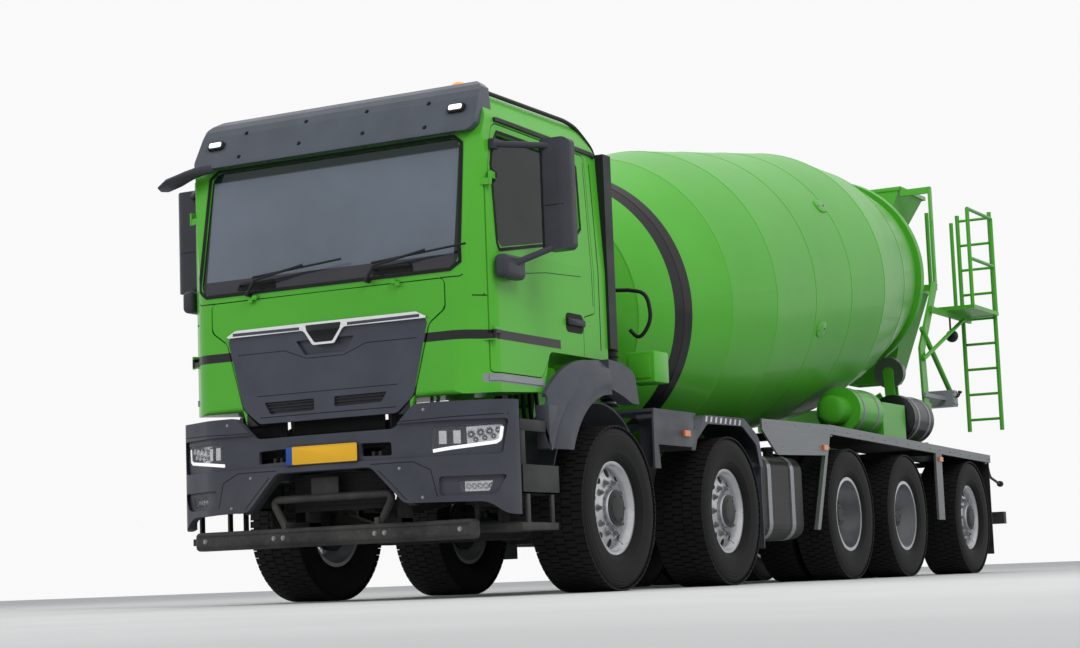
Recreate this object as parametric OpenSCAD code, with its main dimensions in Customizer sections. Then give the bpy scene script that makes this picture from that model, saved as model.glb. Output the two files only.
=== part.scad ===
// Concrete mixer truck with five axles: chassis, tilting cab, inclined drum and discharge gear.
// X points to the truck's left, Y to its rear and Z up.
// Places along the truck are measured from the front axle, places across it from its middle
// and heights from the ground. on_truck() then centres the truck lengthwise on the origin.

/* [Axles and wheels] */
// First to second axle
gap_1_2 = 1795; // [1760:5:1900]
// Second to third axle
gap_2_3 = 2440; // [2400:5:2600]
// Third to fourth axle
gap_3_4 = 1400; // [1350:5:1450]
// Fourth to fifth axle
gap_4_5 = 1885; // [1850:5:2000]
// Width over the tyres
track_over = 2530; // [2500:5:2550]
// Diameter of every tyre
tyre_d = 1060; // [1040:2:1070]
// Width of a single tyre
single_w = 385; // [355:5:395]
// Width of a twin tyre
twin_w = 300; // [280:5:315]
// Middle to middle of a pair of twin tyres
twin_pitch = 350; // [335:5:360]
// Diameter at the tyre's bead
bead_d = 600; // [590:2:610]
// Thickness of the wheel disc
disc_t = 16; // [12:1:20]
// Diameter of a hand hole in the disc
hand_hole_d = 58; // [50:1:64]
// Radius of the ring of hand holes
hand_hole_r = 224; // [220:1:228]
// Spindle diameter
spindle_d = 100; // [90:2:110]
// Kingpin diameter
kingpin_d = 50; // [44:1:56]
// Kingpin's distance from the middle of the truck
kingpin_x = 880; // [870:2:890]

/* [Frame] */
// Width over the side rails
frame_w = 800; // [780:5:820]
// Height of a side rail
rail_h = 270; // [250:5:280]
// Width of a rail's flange
rail_flange = 80; // [70:2:85]
// Thickness of a rail's web and flanges
rail_t = 10; // [8:1:12]
// Height of the frame's top
frame_top = 1010; // [1000:5:1020]
// Front bumper face to first axle
front_overhang = 1510; // [1490:5:1530]
// Fifth axle to the ladder at the rear
rear_overhang = 1630; // [1620:5:1700]

/* [Cab] */
// Cab width
cab_w = 2240; // [2200:5:2260]
// Height of the cab roof
roof_z = 3110; // [3080:5:3150]
// Thickness of the cab's walls and doors
cab_wall = 60; // [50:2:70]
// Glass thickness
glass_t = 6; // [5:1:8]
// Gap round a door
door_gap = 7; // [6:0.5:8]
// Height of the cab's tilting pivot
tilt_z = 850; // [840:5:860]

/* [Drum] */
// Tilt of the drum's axis
drum_tilt = 8.7; // [8.2:0.1:9.2]
// Height of the drum's axis at its front plate
drum_front_z = 1972; // [1950:2:2000]
// Distance of the drum's front plate behind the first axle
drum_front_y = 1100; // [1080:5:1140]
// Largest radius of the drum
drum_r = 1212; // [1190:2:1225]
// Thickness of the drum's shell
drum_wall = 8; // [6:1:10]
// Radius of the drum's mouth
mouth_r = 600; // [560:5:640]
// Radius of the track ring
track_r = 955; // [940:5:970]
// Radius of a support roller
roller_r = 150; // [130:5:160]
// Angle of the support rollers from the lowest point of the ring
roller_angle = 28; // [24:1:32]

/* [Chute] */
// Distance of the chute's swivel behind the fifth axle
swivel_back = 1080; // [1060:5:1100]
// Height of the chute's tilting hinge
chute_hinge_z = 1720; // [1700:5:1740]
// Length of the chute
chute_len = 1130; // [1050:10:1180]
// Radius of the chute's trough
chute_r = 210; // [190:5:220]
// Thickness of plate troughs and hoppers
plate_t = 6; // [5:1:8]

/* [Hidden] */
// Clearance between pieces that are seated on each other or run on each other
seat = 0.3;
$fn = 48;

// Axle places along the truck
axle_y = [0, gap_1_2, gap_1_2 + gap_2_3, gap_1_2 + gap_2_3 + gap_3_4,
    gap_1_2 + gap_2_3 + gap_3_4 + gap_4_5];
rear_y = axle_y[4] + rear_overhang;
middle_y = (rear_y - front_overhang) / 2;
tyre_r = tyre_d / 2;
hub_z = tyre_r;
bead_r = bead_d / 2;
single_x = track_over / 2 - single_w / 2;
twin_x = track_over / 2 - twin_w / 2 - twin_pitch / 2;
side_x = track_over / 2 - 5;
rail_z = frame_top - rail_h;
frame_front_y = -1180;
frame_rear_y = rear_y - 420;
swivel_y = axle_y[4] + swivel_back;

GREEN = "limegreen";
DARK = "dimgray";
BLACK = "#202224";
ALLOY = "silver";

// Outlines: rows of [across, up, corner radius], listed anticlockwise.
function unit(v) = v / norm(v);
function row_at(rows, i) = let(r = rows[(i + len(rows)) % len(rows)]) [r[0], r[1]];
function left_of(v) = [-v[1], v[0]];
// Corner i moved inwards by d, with its radius changed to match
function inset_row(rows, i, d) =
    let(p = row_at(rows, i), a = unit(p - row_at(rows, i - 1)), b = unit(row_at(rows, i + 1) - p),
        m = p + d * (left_of(a) + left_of(b)) / (1 + left_of(a) * left_of(b)),
        r = rows[i][2])
    [m[0], m[1], r == 0 ? 0 : max(r - d * sign(cross(a, b)), 1)];
// Arc of corner i
function corner(rows, i, steps) =
    let(p = row_at(rows, i), a = unit(row_at(rows, i - 1) - p), b = unit(row_at(rows, i + 1) - p),
        r = rows[i][2], half = acos(max(-1, min(1, a * b))) / 2)
    r <= 0 || half > 89 ? [p] :
    let(c = p + unit(a + b) * r / sin(half), s = p + a * r / tan(half), e = p + b * r / tan(half),
        from = atan2(s[1] - c[1], s[0] - c[0]), to = atan2(e[1] - c[1], e[0] - c[0]),
        sweep = (to - from + 540) % 360 - 180)
    [for (k = [0:steps]) c + r * [cos(from + sweep * k / steps), sin(from + sweep * k / steps)]];
function outline(rows, d = 0, steps = 5) =
    let(moved = [for (i = [0:len(rows) - 1]) inset_row(rows, i, d)])
    [for (i = [0:len(rows) - 1]) each corner(moved, i, steps)];
// Rows mirrored across the vertical axis, to close a symmetric outline
function both_sides(half) = concat(half, [for (i = [len(half) - 1:-1:0])
    [-half[i][0], half[i][1], half[i][2]]]);

// An outline in Y and Z extruded across the truck, middle at X = 0
module across(w) rotate([90, 0, 90]) linear_extrude(w, center = true) children();
// An outline in X and Z extruded along the truck from y0 to y1
module along(y0, y1) translate([0, y1, 0]) rotate([90, 0, 0]) linear_extrude(y1 - y0) children();
// A box between two corners
module block(lo, hi) translate(lo) cube(hi - lo);
// A round bar between two points
module bar(a, b, r) {
    v = b - a;
    translate(a) rotate([0, acos(v[2] / norm(v)), atan2(v[1], v[0])]) cylinder(r = r, h = norm(v));
}
// A turned piece about X: rows of [radius, across]
module turned(rows) rotate([0, 90, 0]) rotate_extrude() polygon(rows);
module on_truck() translate([0, -middle_y, 0]) children();
module mirrored() {
    children();
    mirror([1, 0, 0]) children();
}
// side 1 is left, -1 is right
module on_side(side) mirror([side < 0 ? 1 : 0, 0, 0]) children();
// The drum's own frame: Z runs along its axis from the front plate
module on_drum_axis() translate([0, drum_front_y, drum_front_z]) rotate([drum_tilt - 90, 0, 0]) children();

// Wheels

// Section of a tyre of width w, its middle at a
function tyre_rows(w, a) = [[bead_r, a - 0.40 * w], [0.7 * tyre_r + 0.3 * bead_r, a - 0.5 * w],
    [tyre_r - 26, a - 0.47 * w], [tyre_r, a - 0.37 * w], [tyre_r, a + 0.37 * w],
    [tyre_r - 26, a + 0.47 * w], [0.7 * tyre_r + 0.3 * bead_r, a + 0.5 * w], [bead_r, a + 0.40 * w]];

// Hub, disc and barrel of a single wheel; a = 0 is the tyre's middle
rim_r = bead_r - seat;
rim_in = rim_r - 26;
hub_r = 145;
module single_rim() difference() {
    b = 0.38 * single_w;
    turned([[spindle_d / 2 + seat, -70], [hub_r, -70], [hub_r, 96], [hub_r + 45, 96],
        [rim_in - 20, 70], [rim_in, 40], [rim_in, -b], [rim_r, -b], [rim_r, b], [rim_in, b],
        [rim_in, 62], [rim_in - 16, 88], [hub_r + 45, 96 + disc_t], [hub_r - 20, 96 + disc_t],
        [hub_r - 30, 158], [60, 176], [0, 176], [0, 60], [spindle_d / 2 + seat, 60]]);
    hand_holes(40, 140);
}
module hand_holes(from, to) for (i = [0:9]) rotate([i * 36, 0, 0])
    translate([from, 0, hand_hole_r]) rotate([0, 90, 0]) cylinder(d = hand_hole_d, h = to - from);

// Two deep-dished rims back to back; a = 0 is the middle between the twins
module twin_rim() difference() {
    b = twin_pitch / 2 - 0.40 * twin_w;
    e = twin_pitch / 2 + 0.40 * twin_w;
    turned([[spindle_d / 2 + seat, -120], [hub_r, -120], [hub_r, -disc_t], [rim_in - 34, -disc_t],
        [rim_in - 14, -b], [rim_in, -b - 30], [rim_in, -e], [rim_r, -e], [rim_r, -b],
        [rim_in - 4, -b + 14], [rim_in - 4, b - 14],
        [rim_r, b], [rim_r, e], [rim_in, e], [rim_in, b + 30], [rim_in - 14, b],
        [rim_in - 34, disc_t], [hub_r, disc_t], [hub_r, 130], [90, 150], [90, 215], [0, 215],
        [0, 60], [spindle_d / 2 + seat, 60]]);
    hand_holes(-60, 60);
}
module single_wheel() {
    color(BLACK) turned(tyre_rows(single_w, 0));
    color(ALLOY) single_rim();
}
module twin_wheel() {
    color(BLACK) for (s = [-1, 1]) turned(tyre_rows(twin_w, s * twin_pitch / 2));
    color(ALLOY) twin_rim();
}
module wheel_on(axle, side) on_truck() on_side(side)
    translate([axle == 3 || axle == 4 ? twin_x : single_x, axle_y[axle - 1], hub_z])
        if (axle == 3 || axle == 4) twin_wheel(); else single_wheel();

// Steering knuckle: kingpin, fork round the beam's eye, backing plate and spindle
eye_h = 120;
lug_h = 40;
plate_in = 78;
module knuckle(axle, side) on_truck() on_side(side)
    translate([kingpin_x, axle_y[axle - 1], hub_z]) color(DARK) {
        top = eye_h / 2 + seat + lug_h;
        difference() {
            union() {
                for (z = [eye_h / 2 + seat, -top]) translate([0, 0, z]) {
                    cylinder(r = kingpin_d, h = lug_h);
                    block([0, -kingpin_d, 0], [plate_in, kingpin_d, lug_h]);
                }
                block([kingpin_d + 12, -kingpin_d, -top], [plate_in, kingpin_d, top]);
            }
        }
        cylinder(d = kingpin_d, h = 2 * top, center = true);
        translate([plate_in, 0, 0]) rotate([0, 90, 0]) cylinder(r = 190, h = 22);
        translate([plate_in, 0, 0]) rotate([0, 90, 0])
            cylinder(d = spindle_d, h = single_x - kingpin_x - plate_in + 60 - seat);
        // Steering arm
        block([-30, 40, -top], [plate_in, 200, -top + 24]);
    }

// Chassis

module rail() difference() {
    block([frame_w / 2 - rail_flange, frame_front_y, rail_z], [frame_w / 2, frame_rear_y, frame_top]);
    block([frame_w / 2 - rail_flange - 1, frame_front_y - 1, rail_z + rail_t],
        [frame_w / 2 - rail_t, frame_rear_y + 1, frame_top - rail_t]);
}
// Places of the cross tubes between the rails
cross_y = [frame_front_y + 90, axle_y[1] + 500, axle_y[2] - 620, axle_y[2] + 700, axle_y[3] + 640,
    axle_y[4] + 480, frame_rear_y - 100];
// Height of the top of the chute's swivel socket
socket_top = 1200;
swivel_r = 50;
tow_bore_r = 20;
pivot_y = -1410;
pivot_x = 362;
pivot_w = 30;
pivot_pin_r = 14;
fork_t = 18;
cab_floor_z = 1500;
module frame() color(BLACK) difference() {
    union() {
        mirrored() rail();
        for (y = cross_y) translate([0, y, frame_top - rail_h / 2]) rotate([0, 90, 0])
            cylinder(r = 70, h = frame_w - 2 * rail_t, center = true);
        // front tow eye and rear coupling block
        block([-70, frame_front_y - 200, rail_z + 60], [70, frame_front_y + 90, rail_z + 170]);
        block([-90, frame_rear_y - 100, rail_z + 60], [90, frame_rear_y + 60, rail_z + 170]);
        // forks for the cab's tilting pivot and posts under the cab's rear floor
        mirrored() {
            for (x = [pivot_x - pivot_w / 2 - seat - fork_t, pivot_x + pivot_w / 2 + seat])
                block([x, pivot_y - 40, tilt_z - 45], [x + fork_t, frame_front_y + 100, tilt_z + 45]);
            translate([pivot_x - pivot_w / 2 - fork_t, pivot_y, tilt_z]) rotate([0, 90, 0])
                cylinder(r = pivot_pin_r, h = pivot_w + 2 * fork_t);
            block([frame_w / 2 - 70, 60, frame_top - 1], [frame_w / 2 - 10, 140, cab_floor_z - seat]);
        }
        // plate and socket for the chute's swivel
        block([-frame_w / 2, swivel_y - 110, frame_top - 1], [frame_w / 2, swivel_y + 110, frame_top + 14]);
        translate([0, swivel_y, frame_top]) cylinder(r = swivel_r + 25, h = socket_top - frame_top);
    }
    translate([0, frame_front_y - 140, rail_z]) cylinder(r = tow_bore_r, h = 300);
    translate([0, frame_rear_y + 10, rail_z]) cylinder(r = tow_bore_r, h = 300);
    translate([0, swivel_y, frame_top + 20]) cylinder(r = swivel_r + seat, h = 300);
}

spring_x = 445;
spring_w = 90;
leaf_t = 18;
// Height of the top of a main leaf
main_z = rail_z - 75;
shaft_start = [0, 1290, hub_z + 170];
shaft_end = [0, axle_y[2] - 240, hub_z + 60];
shaft_dir = unit(shaft_end - shaft_start);
beam_drop = 110;
module steer_beam() {
    // forged beam that drops between the spring pads
    along(-50, 50) polygon(outline(both_sides([[40, hub_z - beam_drop - 60, 20],
        [spring_x + 80, hub_z - beam_drop - 60, 30], [kingpin_x - 60, hub_z - 50, 20],
        [kingpin_x, hub_z - 50, 0], [kingpin_x, hub_z + 50, 0], [kingpin_x - 80, hub_z + 50, 20],
        [spring_x + 60, hub_z - beam_drop + 60, 30], [40, hub_z - beam_drop + 60, 20]])));
    mirrored() translate([kingpin_x, 0, hub_z]) cylinder(r = kingpin_d, h = eye_h, center = true);
}
module axle_beams() on_truck() color(DARK) {
    for (i = [0, 1, 4]) translate([0, axle_y[i], 0]) difference() {
        steer_beam();
        mirrored() translate([kingpin_x, 0, hub_z])
            cylinder(d = kingpin_d + 2 * seat, h = eye_h + 20, center = true);
    }
    for (i = [2, 3]) translate([0, axle_y[i], hub_z]) {
        rotate([0, 90, 0]) cylinder(d = spindle_d, h = 2 * (twin_x + 60 - seat), center = true);
        rotate([0, 90, 0]) cylinder(r = 80, h = 2 * (twin_x - 120) - 20, center = true);
        sphere(r = 215);
        mirrored() block([spring_x - spring_w / 2, -60, 0],
            [spring_x + spring_w / 2, 60, main_z - leaf_t - seat - hub_z]);
    }
    // pinion housing at the main shaft's end, and the shaft between the driven axles
    bar(shaft_end + seat * shaft_dir, shaft_end + 80 * shaft_dir, 60);
    bar([0, axle_y[2] + 200, hub_z], [0, axle_y[3] - 200, hub_z], 45);
}

module leaf_springs() on_truck() color(BLACK) mirrored() {
    for (i = [0, 1, 4]) spring_pack(axle_y[i], 780, 5, hub_z - beam_drop + 60);
    spring_pack((axle_y[2] + axle_y[3]) / 2, 700, 7, hub_z + 82);
}
// A pack of leaves shortening downwards from the main leaf, on a pad over the beam
module spring_pack(y, half, leaves, pad_z) translate([spring_x, y, 0]) {
    for (k = [0:leaves - 1]) block([-spring_w / 2, -half * (1 - 0.15 * k), main_z - leaf_t * (k + 1)],
        [spring_w / 2, half * (1 - 0.15 * k), main_z - leaf_t * k]);
    for (s = [-1, 1]) translate([0, s * (half - 40), 0])
        block([frame_w / 2 - spring_x + seat, -40, main_z - 1], [-10, 40, rail_z + 60]);
    low = main_z - leaf_t * leaves;
    if (low > pad_z + seat) block([-spring_w / 2, -70, pad_z + seat], [spring_w / 2, 70, low + 1]);
}

// Engine, gearbox and propeller shafts as one plain block
module power_unit() on_truck() color(DARK) {
    block([-290, -700, 700], [290, 560, 1150]);
    block([-210, 559, 640], [210, 1300, 1000]);
    bar(shaft_start, shaft_end, 50);
    // mounts on the rails' webs
    mirrored() for (p = [[289, -400], [289, 300], [209, 1150]])
        block([p[0], p[1], 800], [frame_w / 2 - rail_t - seat, p[1] + 90, 860]);
}

// Front end

bumper_w = 2500;
bumper_t = 45;
// Bumper seen from above: [across, along, corner radius]
bumper_end_y = -1215;
bumper_plan = [[-bumper_w / 2, bumper_end_y, 0], [-bumper_w / 2, -1340, 90], [-900, -1480, 260],
    [0, -front_overhang, 1500], [900, -1480, 260], [bumper_w / 2, -1340, 90], [bumper_w / 2, bumper_end_y, 0]];
module bumper_ring(from, to) linear_extrude(4000) difference() {
    polygon(outline(bumper_plan, from));
    polygon(outline([for (r = bumper_plan) [r[0], r[1] + (r[1] == bumper_end_y ? 100 : 0), r[2]]], to));
}
// Bumper seen from the front, half: [across, up, corner radius]
bumper_top = 1160;
bumper_face = both_sides([[420, 560, 30], [470, 500, 30], [1300, 520, 20], [1300, bumper_top, 0],
    [760, bumper_top, 60], [640, 1000, 60]]);
// Lamps in the bumper: [inner x, outer x, low z, high z]
headlamp = [790, 1235, 875, 1015];
fog_lamp = [935, 1110, 610, 700];
slot = [330, 700, 850, 950];
module face_window(w, d) polygon(outline([[w[0], w[2], 12], [w[1], w[2], 12],
    [w[1], w[3], 12], [w[0], w[3], 12]], d));
module bumper() on_truck() color(DARK) difference() {
    union() {
        intersection() {
            bumper_ring(0, bumper_t);
            along(-2000, bumper_end_y) polygon(outline(bumper_face));
        }
        // brackets back to the rails' sides
        mirrored() block([frame_w / 2 + seat, 40 - front_overhang, 760], [frame_w / 2 + 20, -1000, 840]);
    }
    mirrored() for (w = [headlamp, fog_lamp, slot]) along(-2000, -1150) face_window(w, 0);
    // opening under the number plate
    along(-2000, -1150) polygon(outline(both_sides([[330, 640, 20], [300, 800, 20]])));
}
module headlamps() on_truck() color("whitesmoke") mirrored() for (w = [headlamp, fog_lamp])
    intersection() {
        bumper_ring(4, bumper_t - 2);
        along(-2000, -1150) face_window(w, seat);
    }
plate_w = 520;
plate_h = 110;
plate_z = 898;
module number_plate() on_truck() color("gold") difference() {
    union() {
        along(-front_overhang - 12, -front_overhang - 6) polygon(outline([
            [-plate_w / 2, plate_z - plate_h / 2, 10], [plate_w / 2, plate_z - plate_h / 2, 10],
            [plate_w / 2, plate_z + plate_h / 2, 10], [-plate_w / 2, plate_z + plate_h / 2, 10]]));
        block([-200, -front_overhang - 7, plate_z - 20], [200, -front_overhang + 40, plate_z + 20]);
    }
    bumper_ring(-seat, 200);
}
// Underrun bar on two brackets, with the tube guard above it
module underrun_bar() on_truck() color(BLACK) {
    translate([0, -1400, 430]) rotate([0, 90, 0]) cylinder(r = 48, h = 2100, center = true);
    mirrored() {
        block([325, -1440, 380], [355, -1050, 500]);
        block([325, frame_front_y, 440], [355, -1050, rail_z - seat]);
        bar([448, -1400, 594], [340, -1400, 470], 24);
    }
    translate([0, -1400, 600]) rotate([0, 90, 0]) cylinder(r = 26, h = 930, center = true);
}
// Two treads behind each end of the bumper
module entry_steps() on_truck() color(BLACK) mirrored() {
    for (z = [395, 730]) block([850, -1190, z], [1215, -870, z + 45]);
    for (x = [850, 1195]) block([x, -1190, 395], [x + 20, -870, 1100]);
    block([frame_w / 2 + seat, -1100, 860], [851, -1040, 920]);
}

// Mudguards over the first two axles, joined by a shelf
// Outline of a guard's outer edge: [along from its axle, up, corner radius]
guard_1 = [[-840, 930, 0], [-865, 1150, 60], [-640, 1360, 120], [-180, 1450, 200], [270, 1415, 120],
    [600, 1120, 100], [645, 800, 0]];
guard_2 = [[-645, 940, 0], [-600, 1080, 90], [-400, 1195, 160], [290, 1205, 160], [560, 1080, 120],
    [620, 860, 0]];
guard_t = 14;
module guard_band(rows, d) polygon(outline(concat(rows_cw(rows), offset_back_cw(rows, d))));
function rows_cw(rows) = [for (i = [len(rows) - 1:-1:0]) rows[i]];
function offset_back_cw(rows, d) = [for (i = [0:len(rows) - 1])
    [rows[i][0] * (1 - d / 640), rows[i][1] - (i == 0 || i == len(rows) - 1 ? 0 : d), max(rows[i][2] - d, 0)]];
module guard(rows, y, in_x, out_x, lip) translate([(in_x + out_x) / 2, y, 0]) {
    across(out_x - in_x) guard_band(rows, guard_t);
    translate([(out_x - in_x) / 2 - guard_t / 2, 0, 0]) across(guard_t) guard_band(rows, lip);
}
module front_fenders() on_truck() color(DARK) mirrored() {
    guard(guard_1, 0, cab_w / 2 + 12, side_x, 150);
    inner_guard();
    guard(guard_2, axle_y[1], 860, side_x, 60);
    // shelf between the guards
    block([860, 560, 1180], [side_x, axle_y[1] - 560, 1200]);
    block([side_x - 14, 560, 960], [side_x, axle_y[1] - 600, 1200]);
    // flap behind the second guard
    block([870, axle_y[1] + 640, 260], [side_x - 30, axle_y[1] + 650, 900]);
    block([870, axle_y[1] + 590, 860], [side_x - 30, axle_y[1] + 650, 900]);
    block([frame_w / 2 + seat, axle_y[1] - 620, 1100], [870, axle_y[1] - 560, 1150]);
    block([frame_w / 2 + seat, 560, 1100], [870, 620, 1150]);
}
// Round liner over the front wheel, below the cab's floor
module inner_guard() translate([0, 0, hub_z]) rotate([0, 90, 0]) difference() {
    translate([0, 0, 860]) cylinder(r = 690, h = cab_w / 2 + 26 - 860);
    translate([0, 0, 850]) cylinder(r = 676, h = 400);
    block([-260, -800, 800], [900, 800, 1300]);
}

// Sides of the chassis

tank_y = axle_y[1] + 660;
tank_len = 890;
tank_rows = [[600, 330, 60], [1190, 330, 110], [1190, 965, 110], [600, 965, 60]];
module fuel_tank() on_truck() {
    color(BLACK) along(tank_y, tank_y + tank_len) polygon(outline(tank_rows));
    color(ALLOY) for (y = [tank_y + 180, tank_y + tank_len - 250]) difference() {
        along(y, y + 70) polygon(outline(tank_rows, -8));
        along(y - 1, y + 71) polygon(outline(tank_rows));
        block([500, y - 1, 0], [700, y + 71, 2000]);
    }
    color(BLACK) for (y = [tank_y + 180, tank_y + tank_len - 250])
        block([frame_w / 2 + seat, y, rail_z + 60], [601, y + 70, rail_z + 180]);
}
// Battery box, air tanks and silencer on the right
module side_boxes() on_truck() color(BLACK) mirror([1, 0, 0]) {
    along(tank_y, tank_y + 420) polygon(outline([[600, 420, 30], [1180, 420, 30],
        [1180, 940, 40], [600, 940, 30]]));
    along(tank_y + 450, tank_y + tank_len) polygon(outline([[620, 360, 60], [1190, 360, 60],
        [1190, 940, 60], [620, 940, 60]]));
    for (y = [tank_y + 150, tank_y + 600]) block([frame_w / 2 + seat, y, rail_z + 60],
        [621, y + 70, rail_z + 180]);
    block([700, tank_y + 419, 500], [1100, tank_y + 451, 560]);
}

// Rear mudguards: side profile, top plate, front edge and flaps
guard_top = 1240;
guard_drop = 100;
guard_front_y = axle_y[2] - 420;
guard_rear_y = axle_y[4] + 680;
// Height of the top plate's underside, with room for its slope over a bracket's width
function plate_under(y) = guard_top - 31 - guard_drop * (y - guard_front_y) / (guard_rear_y - guard_front_y);
module rear_mudguards() on_truck() mirrored() {
    color(ALLOY) {
        // long side profile, lower at the rear
        translate([side_x - 15, 0, 0]) across(30) polygon([[guard_front_y, guard_top - 75],
            [guard_rear_y, guard_top - guard_drop - 75], [guard_rear_y, guard_top - guard_drop],
            [guard_front_y, guard_top]]);
        // front edge, raked forwards to its foot
        translate([side_x - 15, 0, 0]) across(30) polygon([[guard_front_y - 360, 400],
            [guard_front_y - 290, 400], [guard_front_y + 45, guard_top - 20], [guard_front_y, guard_top]]);
        // strip between the last two axles
        block([side_x - 22, axle_y[3] + 870, 500], [side_x, axle_y[3] + 1040, 1130]);
        // panel over the tank
        translate([side_x - 8, 0, 0]) across(16) polygon([[tank_y + 260, 960], [guard_front_y - 60, 990],
            [guard_front_y + 10, guard_top - 4], [tank_y - 30, guard_top - 20], [tank_y - 30, 1140]]);
    }
    color(BLACK) {
        // sloping top plate from the frame's side to the profile
        translate([(frame_w / 2 + side_x) / 2 + 80, 0, 0]) across(side_x - frame_w / 2 - 190)
            polygon([[guard_front_y, guard_top - 40], [guard_rear_y, guard_top - guard_drop - 40],
                [guard_rear_y, guard_top - guard_drop - 30], [guard_front_y, guard_top - 30]]);
        for (y = [guard_front_y + 60, axle_y[3] + 900, guard_rear_y - 120]) {
            block([frame_w / 2 + seat, y, plate_under(y) - 60], [side_x - 16, y + 50, plate_under(y) - 10]);
            block([frame_w / 2 + seat, y, frame_top - 120], [frame_w / 2 + 30, y + 50, plate_under(y) - 10]);
        }
        // rear flap
        block([620, guard_rear_y, 180], [side_x - 20, guard_rear_y + 12, guard_top - guard_drop - 20]);
    }
}

// Drum stands

front_stand_y = drum_front_y - 330;
module front_stand() on_truck() color(GREEN) {
    mirrored() {
        translate([frame_w / 2 - 60, 0, 0]) across(16) polygon(outline([[front_stand_y - 260, frame_top + seat, 0],
            [front_stand_y + 200, frame_top + seat, 0], [front_stand_y + 130, 1560, 30],
            [front_stand_y - 130, 1560, 30]]));
        block([frame_w / 2 - 100, front_stand_y - 260, frame_top + seat],
            [frame_w / 2 - 4, front_stand_y + 200, frame_top + 16]);
    }
    block([-frame_w / 2 + 60, front_stand_y - 130, 1540], [frame_w / 2 - 60, front_stand_y + 130, 1560]);
    translate([0, front_stand_y, 0]) {
        block([-330, -130, 1300], [330, -114, 1545]);
        block([-330, 114, 1300], [330, 130, 1545]);
    }
}
// Gearbox and hydraulic motor: rides on the front stand, its flange at the drum's front plate
gearbox_back = -150;
module drum_drive() on_truck() color(GREEN) {
    on_drum_axis() {
        translate([0, 0, -330]) cylinder(r = 210, h = 330 + gearbox_back - 40);
        translate([0, 0, gearbox_back - 45]) cylinder(r = 260, h = 45 - seat);
        translate([0, 0, -520]) cylinder(r = 120, h = 200);
        translate([0, 0, -560]) cylinder(r = 85, h = 60);
    }
    block([-200, drum_front_y - 330, 1560 + seat], [200, drum_front_y - 190, 1800]);
    block([-200, drum_front_y - 440, 1560 + seat], [200, drum_front_y - 220, 1590]);
}

// The drum's profile: [distance along the axis, radius]
ring_s = 6340;
drum_rows = [[-gearbox_back * 0 - 110, 420], [-20, 740], [90, 880], [560, 1020], [1150, 1150], [1900, drum_r],
    [4450, drum_r], [5350, 1095], [ring_s - 70, track_r - 45], [ring_s + 70, track_r - 55],
    [6900, mouth_r]];
module drum_outline(d) polygon(concat([for (r = drum_rows) [r[1] - d, r[0] + (r[0] < 0 ? d : 0)]],
    [[0, drum_rows[len(drum_rows) - 1][0] + (d > 0 ? 1 : 0)], [0, drum_rows[0][0] + d]]));
module drum() on_truck() on_drum_axis() {
    color(GREEN) difference() {
        union() {
            rotate_extrude($fn = 72) drum_outline(0);
            translate([0, 0, gearbox_back]) cylinder(r = 255, h = 60);
        }
        rotate_extrude($fn = 72) drum_outline(drum_wall);
    }
    color(ALLOY) rotate_extrude($fn = 72) translate([track_r - 56, ring_s - 45]) square([56, 90]);
}

// Rollers under the track ring
roller_reach = track_r + roller_r + seat;
roller_w = 80;
module on_roller(side) on_drum_axis() rotate([0, 0, side * (90 - roller_angle)])
    translate([roller_reach * side, 0, ring_s]) children();
module roller(side) on_truck() on_roller(side) color(ALLOY) difference() {
    cylinder(r = roller_r, h = roller_w, center = true);
    cylinder(r = 30 + seat, h = roller_w + 2, center = true);
}
leg_out = 872;
// Rear stand: cross beam, roller brackets, legs and braces
beam_z = 1560;
cheek_t = 18;
cheek_s = roller_w / 2 + seat + cheek_t / 2;
ring_y = drum_front_y + ring_s * cos(drum_tilt);
stand_y = ring_y + (roller_reach * cos(roller_angle) + 330) * sin(drum_tilt);
module rear_stand() on_truck() color(GREEN) {
    block([-872, stand_y - 100, beam_z - 90], [872, stand_y + 100, beam_z + 90]);
    for (side = [-1, 1]) {
        on_roller(side) {
            for (z = [-1, 1]) translate([0, 0, z * cheek_s]) cylinder(r = 55, h = cheek_t, center = true);
            cylinder(r = 30, h = 2 * cheek_s, center = true);
        }
        // cheeks from the roller's pin down to the beam, square to the drum's axis
        on_drum_axis() for (z = [-1, 1])
            translate([side * roller_reach * sin(roller_angle) - 50, roller_reach * cos(roller_angle),
                ring_s + z * cheek_s - cheek_t / 2]) cube([100, 350, cheek_t]);
    }
    mirrored() {
        // feet on the rails
        translate([frame_w / 2 - 30, 0, 0]) across(20) polygon([[stand_y - 250, frame_top + seat],
            [stand_y + 250, frame_top + seat], [stand_y + 90, beam_z - 80], [stand_y - 90, beam_z - 80]]);
        // side leg leaning back to the platform
        translate([leg_out - 12, 0, 0]) across(24) polygon([[stand_y - 100, beam_z - 60], [stand_y + 60, beam_z - 60],
            [ring_y + 200, 2160], [ring_y + 720, 2860], [ring_y + 600, 2880], [ring_y + 60, 2180]]);
        // bracket in to the funnel, post and arm up to the feed hopper
        block([620 + seat, ring_y + 650, 2800], [849, ring_y + 700, 2860]);
        block([848, ring_y + 640, 2800], [872, ring_y + 700, hopper_top_z - 40]);
        block([562, ring_y + 645, hopper_top_z - 100], [849, ring_y + 695, hopper_top_z - 40]);
    }
}
// Feed hopper over the drum's mouth and the funnel under it
mouth_y = drum_front_y + drum_rows[len(drum_rows) - 1][0] * cos(drum_tilt);
mouth_z = drum_front_z + drum_rows[len(drum_rows) - 1][0] * sin(drum_tilt);
hopper_top_z = 3880;
funnel_low_z = chute_hinge_z + 230;
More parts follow.
